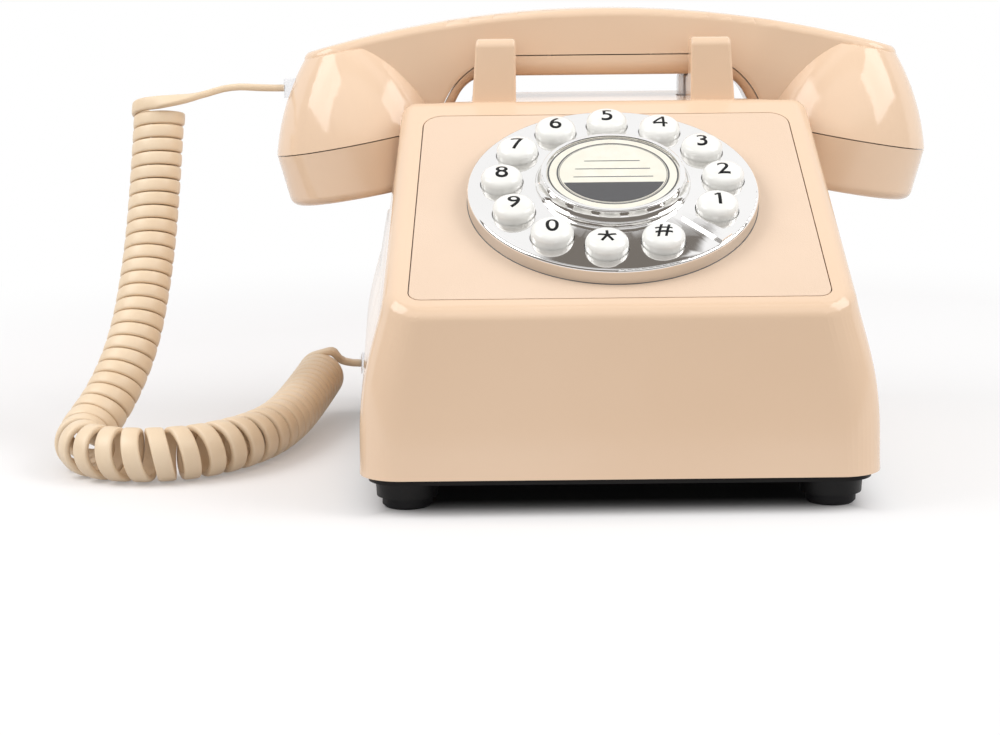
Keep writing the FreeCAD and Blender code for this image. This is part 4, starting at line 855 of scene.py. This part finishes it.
def floorFinish():
    material = bpy.data.materials.new("floorWhite")
    material.use_nodes = True
    tree = material.node_tree
    shader = tree.nodes["Principled BSDF"]
    shader.inputs["Roughness"].default_value = floorLook["rough"]
    shader.inputs["Specular IOR Level"].default_value = floorLook["specular"]
    rays = tree.nodes.new("ShaderNodeLightPath")
    place = tree.nodes.new("ShaderNodeTexCoord").outputs["Object"]
    spot = splitNode(tree, place)
    distance = vectorNode(tree, "LENGTH", place)["Value"]
    plan = vectorNode(tree, "MULTIPLY", place, floorLook["planStretch"])["Vector"]
    quarter = splitNode(tree, vectorNode(tree, "ABSOLUTE", plan)["Vector"])
    reach = mathNode(tree, "MAXIMUM", quarter["X"], quarter["Y"])
    # painted shadow: the sheet's colour goes near black under the part
    share, first, second, result = colourMix(tree)
    first.default_value = (0, 0, 0, 1)
    second.default_value = linear(floorLook["colour"])
    tree.links.new(rampNode(tree, reach, floorLook["shadeEdge"], (floorLook["shade"], 1)), share)
    tree.links.new(result, shader.inputs["Base Color"])
    # painted light beside the part: a white glow mixed in that lifts the sheet's shadows, stronger towards +X; and
    # white far off, for the eye, clear pieces and gloss
    seen = mathNode(tree, "MAXIMUM", rays.outputs["Is Camera Ray"], rays.outputs["Is Transmission Ray"])
    seen = mathNode(tree, "MAXIMUM", seen, rays.outputs["Is Glossy Ray"])
    pale = rampNode(tree, spot["X"], floorLook["paintedLightSpan"], floorLook["paintedLightLevels"])
    beside = mathNode(tree, "MULTIPLY", pale, rampNode(tree, reach, floorLook["footprint"]))
    away = mathNode(tree, "MAXIMUM", beside, rampNode(tree, distance, floorLook["fade"]))
    white = glowNode(tree, "ShaderNodeEmission", plainWhite)
    sheet = mixShaders(tree, mathNode(tree, "MULTIPLY", away, seen), shader.outputs["BSDF"], white)
    # the dim room in front of the sheet
    glossAhead = rampNode(tree, spot["Y"], floorLook["frontEdge"])
    lightAhead = rampNode(tree, spot["Y"], floorLook["frontEdge"], (floorLook["bounceLoss"], 1))
    dim = mathNode(tree, "MAXIMUM", mathNode(tree, "MULTIPLY", glossAhead, rays.outputs["Is Glossy Ray"]),
                   mathNode(tree, "MULTIPLY", lightAhead, rays.outputs["Is Diffuse Ray"]))
    whole = mixShaders(tree, dim, sheet, glowNode(tree, "ShaderNodeEmission", roomDark))
    tree.links.new(whole, tree.nodes["Material Output"].inputs["Surface"])
    return material


def makeFloor():
    bpy.ops.object.select_all(action="DESELECT")
    bpy.ops.mesh.primitive_circle_add(vertices=floorLook["sides"], radius=floorLook["radius"],
                                      fill_type="NGON", location=(0, 0, 0))
    floor = bpy.context.object
    floor.name = "floor"
    paint(floor, floorFinish())


# world: plain fill light; the eye and clear pieces see white; gloss sees white behind and overhead, round a
# dim window, pale windows above and high in front, and a dim room elsewhere
worldLook = {"fillSpan": (-0.3, 0.3), "fill": (0.97, 0.35), "backWhite": 1.0, "backEdge": (0.385, 0.43),
             "overEdge": (0.24, 0.28), "windowLeft": (-0.02, -0.045), "windowRight": (0.145, 0.165),
             "frontWindow": (-0.36, -0.44), "frontRise": (0.45, 0.6), "frontWhite": 0.85,
             "topFront": (-0.23, -0.15), "topBack": (0.06, -0.02)}


def makeWorld():
    world = bpy.data.worlds.new("studio")
    bpy.context.scene.world = world
    world.use_nodes = True
    tree = world.node_tree
    place = tree.nodes.new("ShaderNodeTexCoord")
    rays = tree.nodes.new("ShaderNodeLightPath")
    way = splitNode(tree, place.outputs["Generated"])

    def edge(axis, name):
        return rampNode(tree, way[axis], worldLook[name])

    fill = tree.nodes["Background"]
    fill.inputs["Color"].default_value = plainWhite
    strength = rampNode(tree, way["Y"], worldLook["fillSpan"], worldLook["fill"])
    tree.links.new(strength, fill.inputs["Strength"])
    white = glowNode(tree, "ShaderNodeBackground", plainWhite, worldLook["backWhite"])
    room = glowNode(tree, "ShaderNodeBackground", roomDark)
    pale = glowNode(tree, "ShaderNodeBackground", plainWhite, worldLook["frontWhite"])
    aside = mathNode(tree, "MAXIMUM", edge("X", "windowLeft"), edge("X", "windowRight"))
    overhead = mathNode(tree, "MULTIPLY", aside, edge("Y", "overEdge"))
    behind = mathNode(tree, "MAXIMUM", edge("Y", "backEdge"), overhead)
    front = mathNode(tree, "MULTIPLY", edge("Y", "frontWindow"), edge("Z", "frontRise"))
    above = mathNode(tree, "MULTIPLY", edge("Y", "topFront"), edge("Y", "topBack"))
    above = mathNode(tree, "MULTIPLY", above, edge("Z", "frontRise"))
    mirrored = mixShaders(tree, behind, room, white)
    mirrored = mixShaders(tree, mathNode(tree, "MAXIMUM", front, above), mirrored, pale)
    lit = mixShaders(tree, rays.outputs["Is Glossy Ray"], fill.outputs[0], mirrored)
    seen = mathNode(tree, "MAXIMUM", rays.outputs["Is Camera Ray"], rays.outputs["Is Transmission Ray"])
    whole = mixShaders(tree, seen, lit, white)
    tree.links.new(whole, tree.nodes["World Output"].inputs["Surface"])


# a square lamp on each side
lampLook = {"place": (0.65, -0.17, 0.70), "aim": (0, 0, 0.10), "size": 0.56, "power": 3.7}


def makeLamp(name, side):
    light = bpy.data.lights.new(name, "AREA")
    light.shape = "RECTANGLE"
    light.size = light.size_y = lampLook["size"]
    light.energy = lampLook["power"]
    lamp = bpy.data.objects.new(name, light)
    bpy.context.scene.collection.objects.link(lamp)
    x, y, z = lampLook["place"]
    place = Vector((side * x, y, z))
    lamp.location = place
    lamp.rotation_euler = (Vector(lampLook["aim"]) - place).to_track_quat("-Z", "Y").to_euler()


makeFloor()
makeWorld()
for name, side in (("left", -1), ("right", 1)):
    makeLamp("lamp." + name, side)
print("stage done")
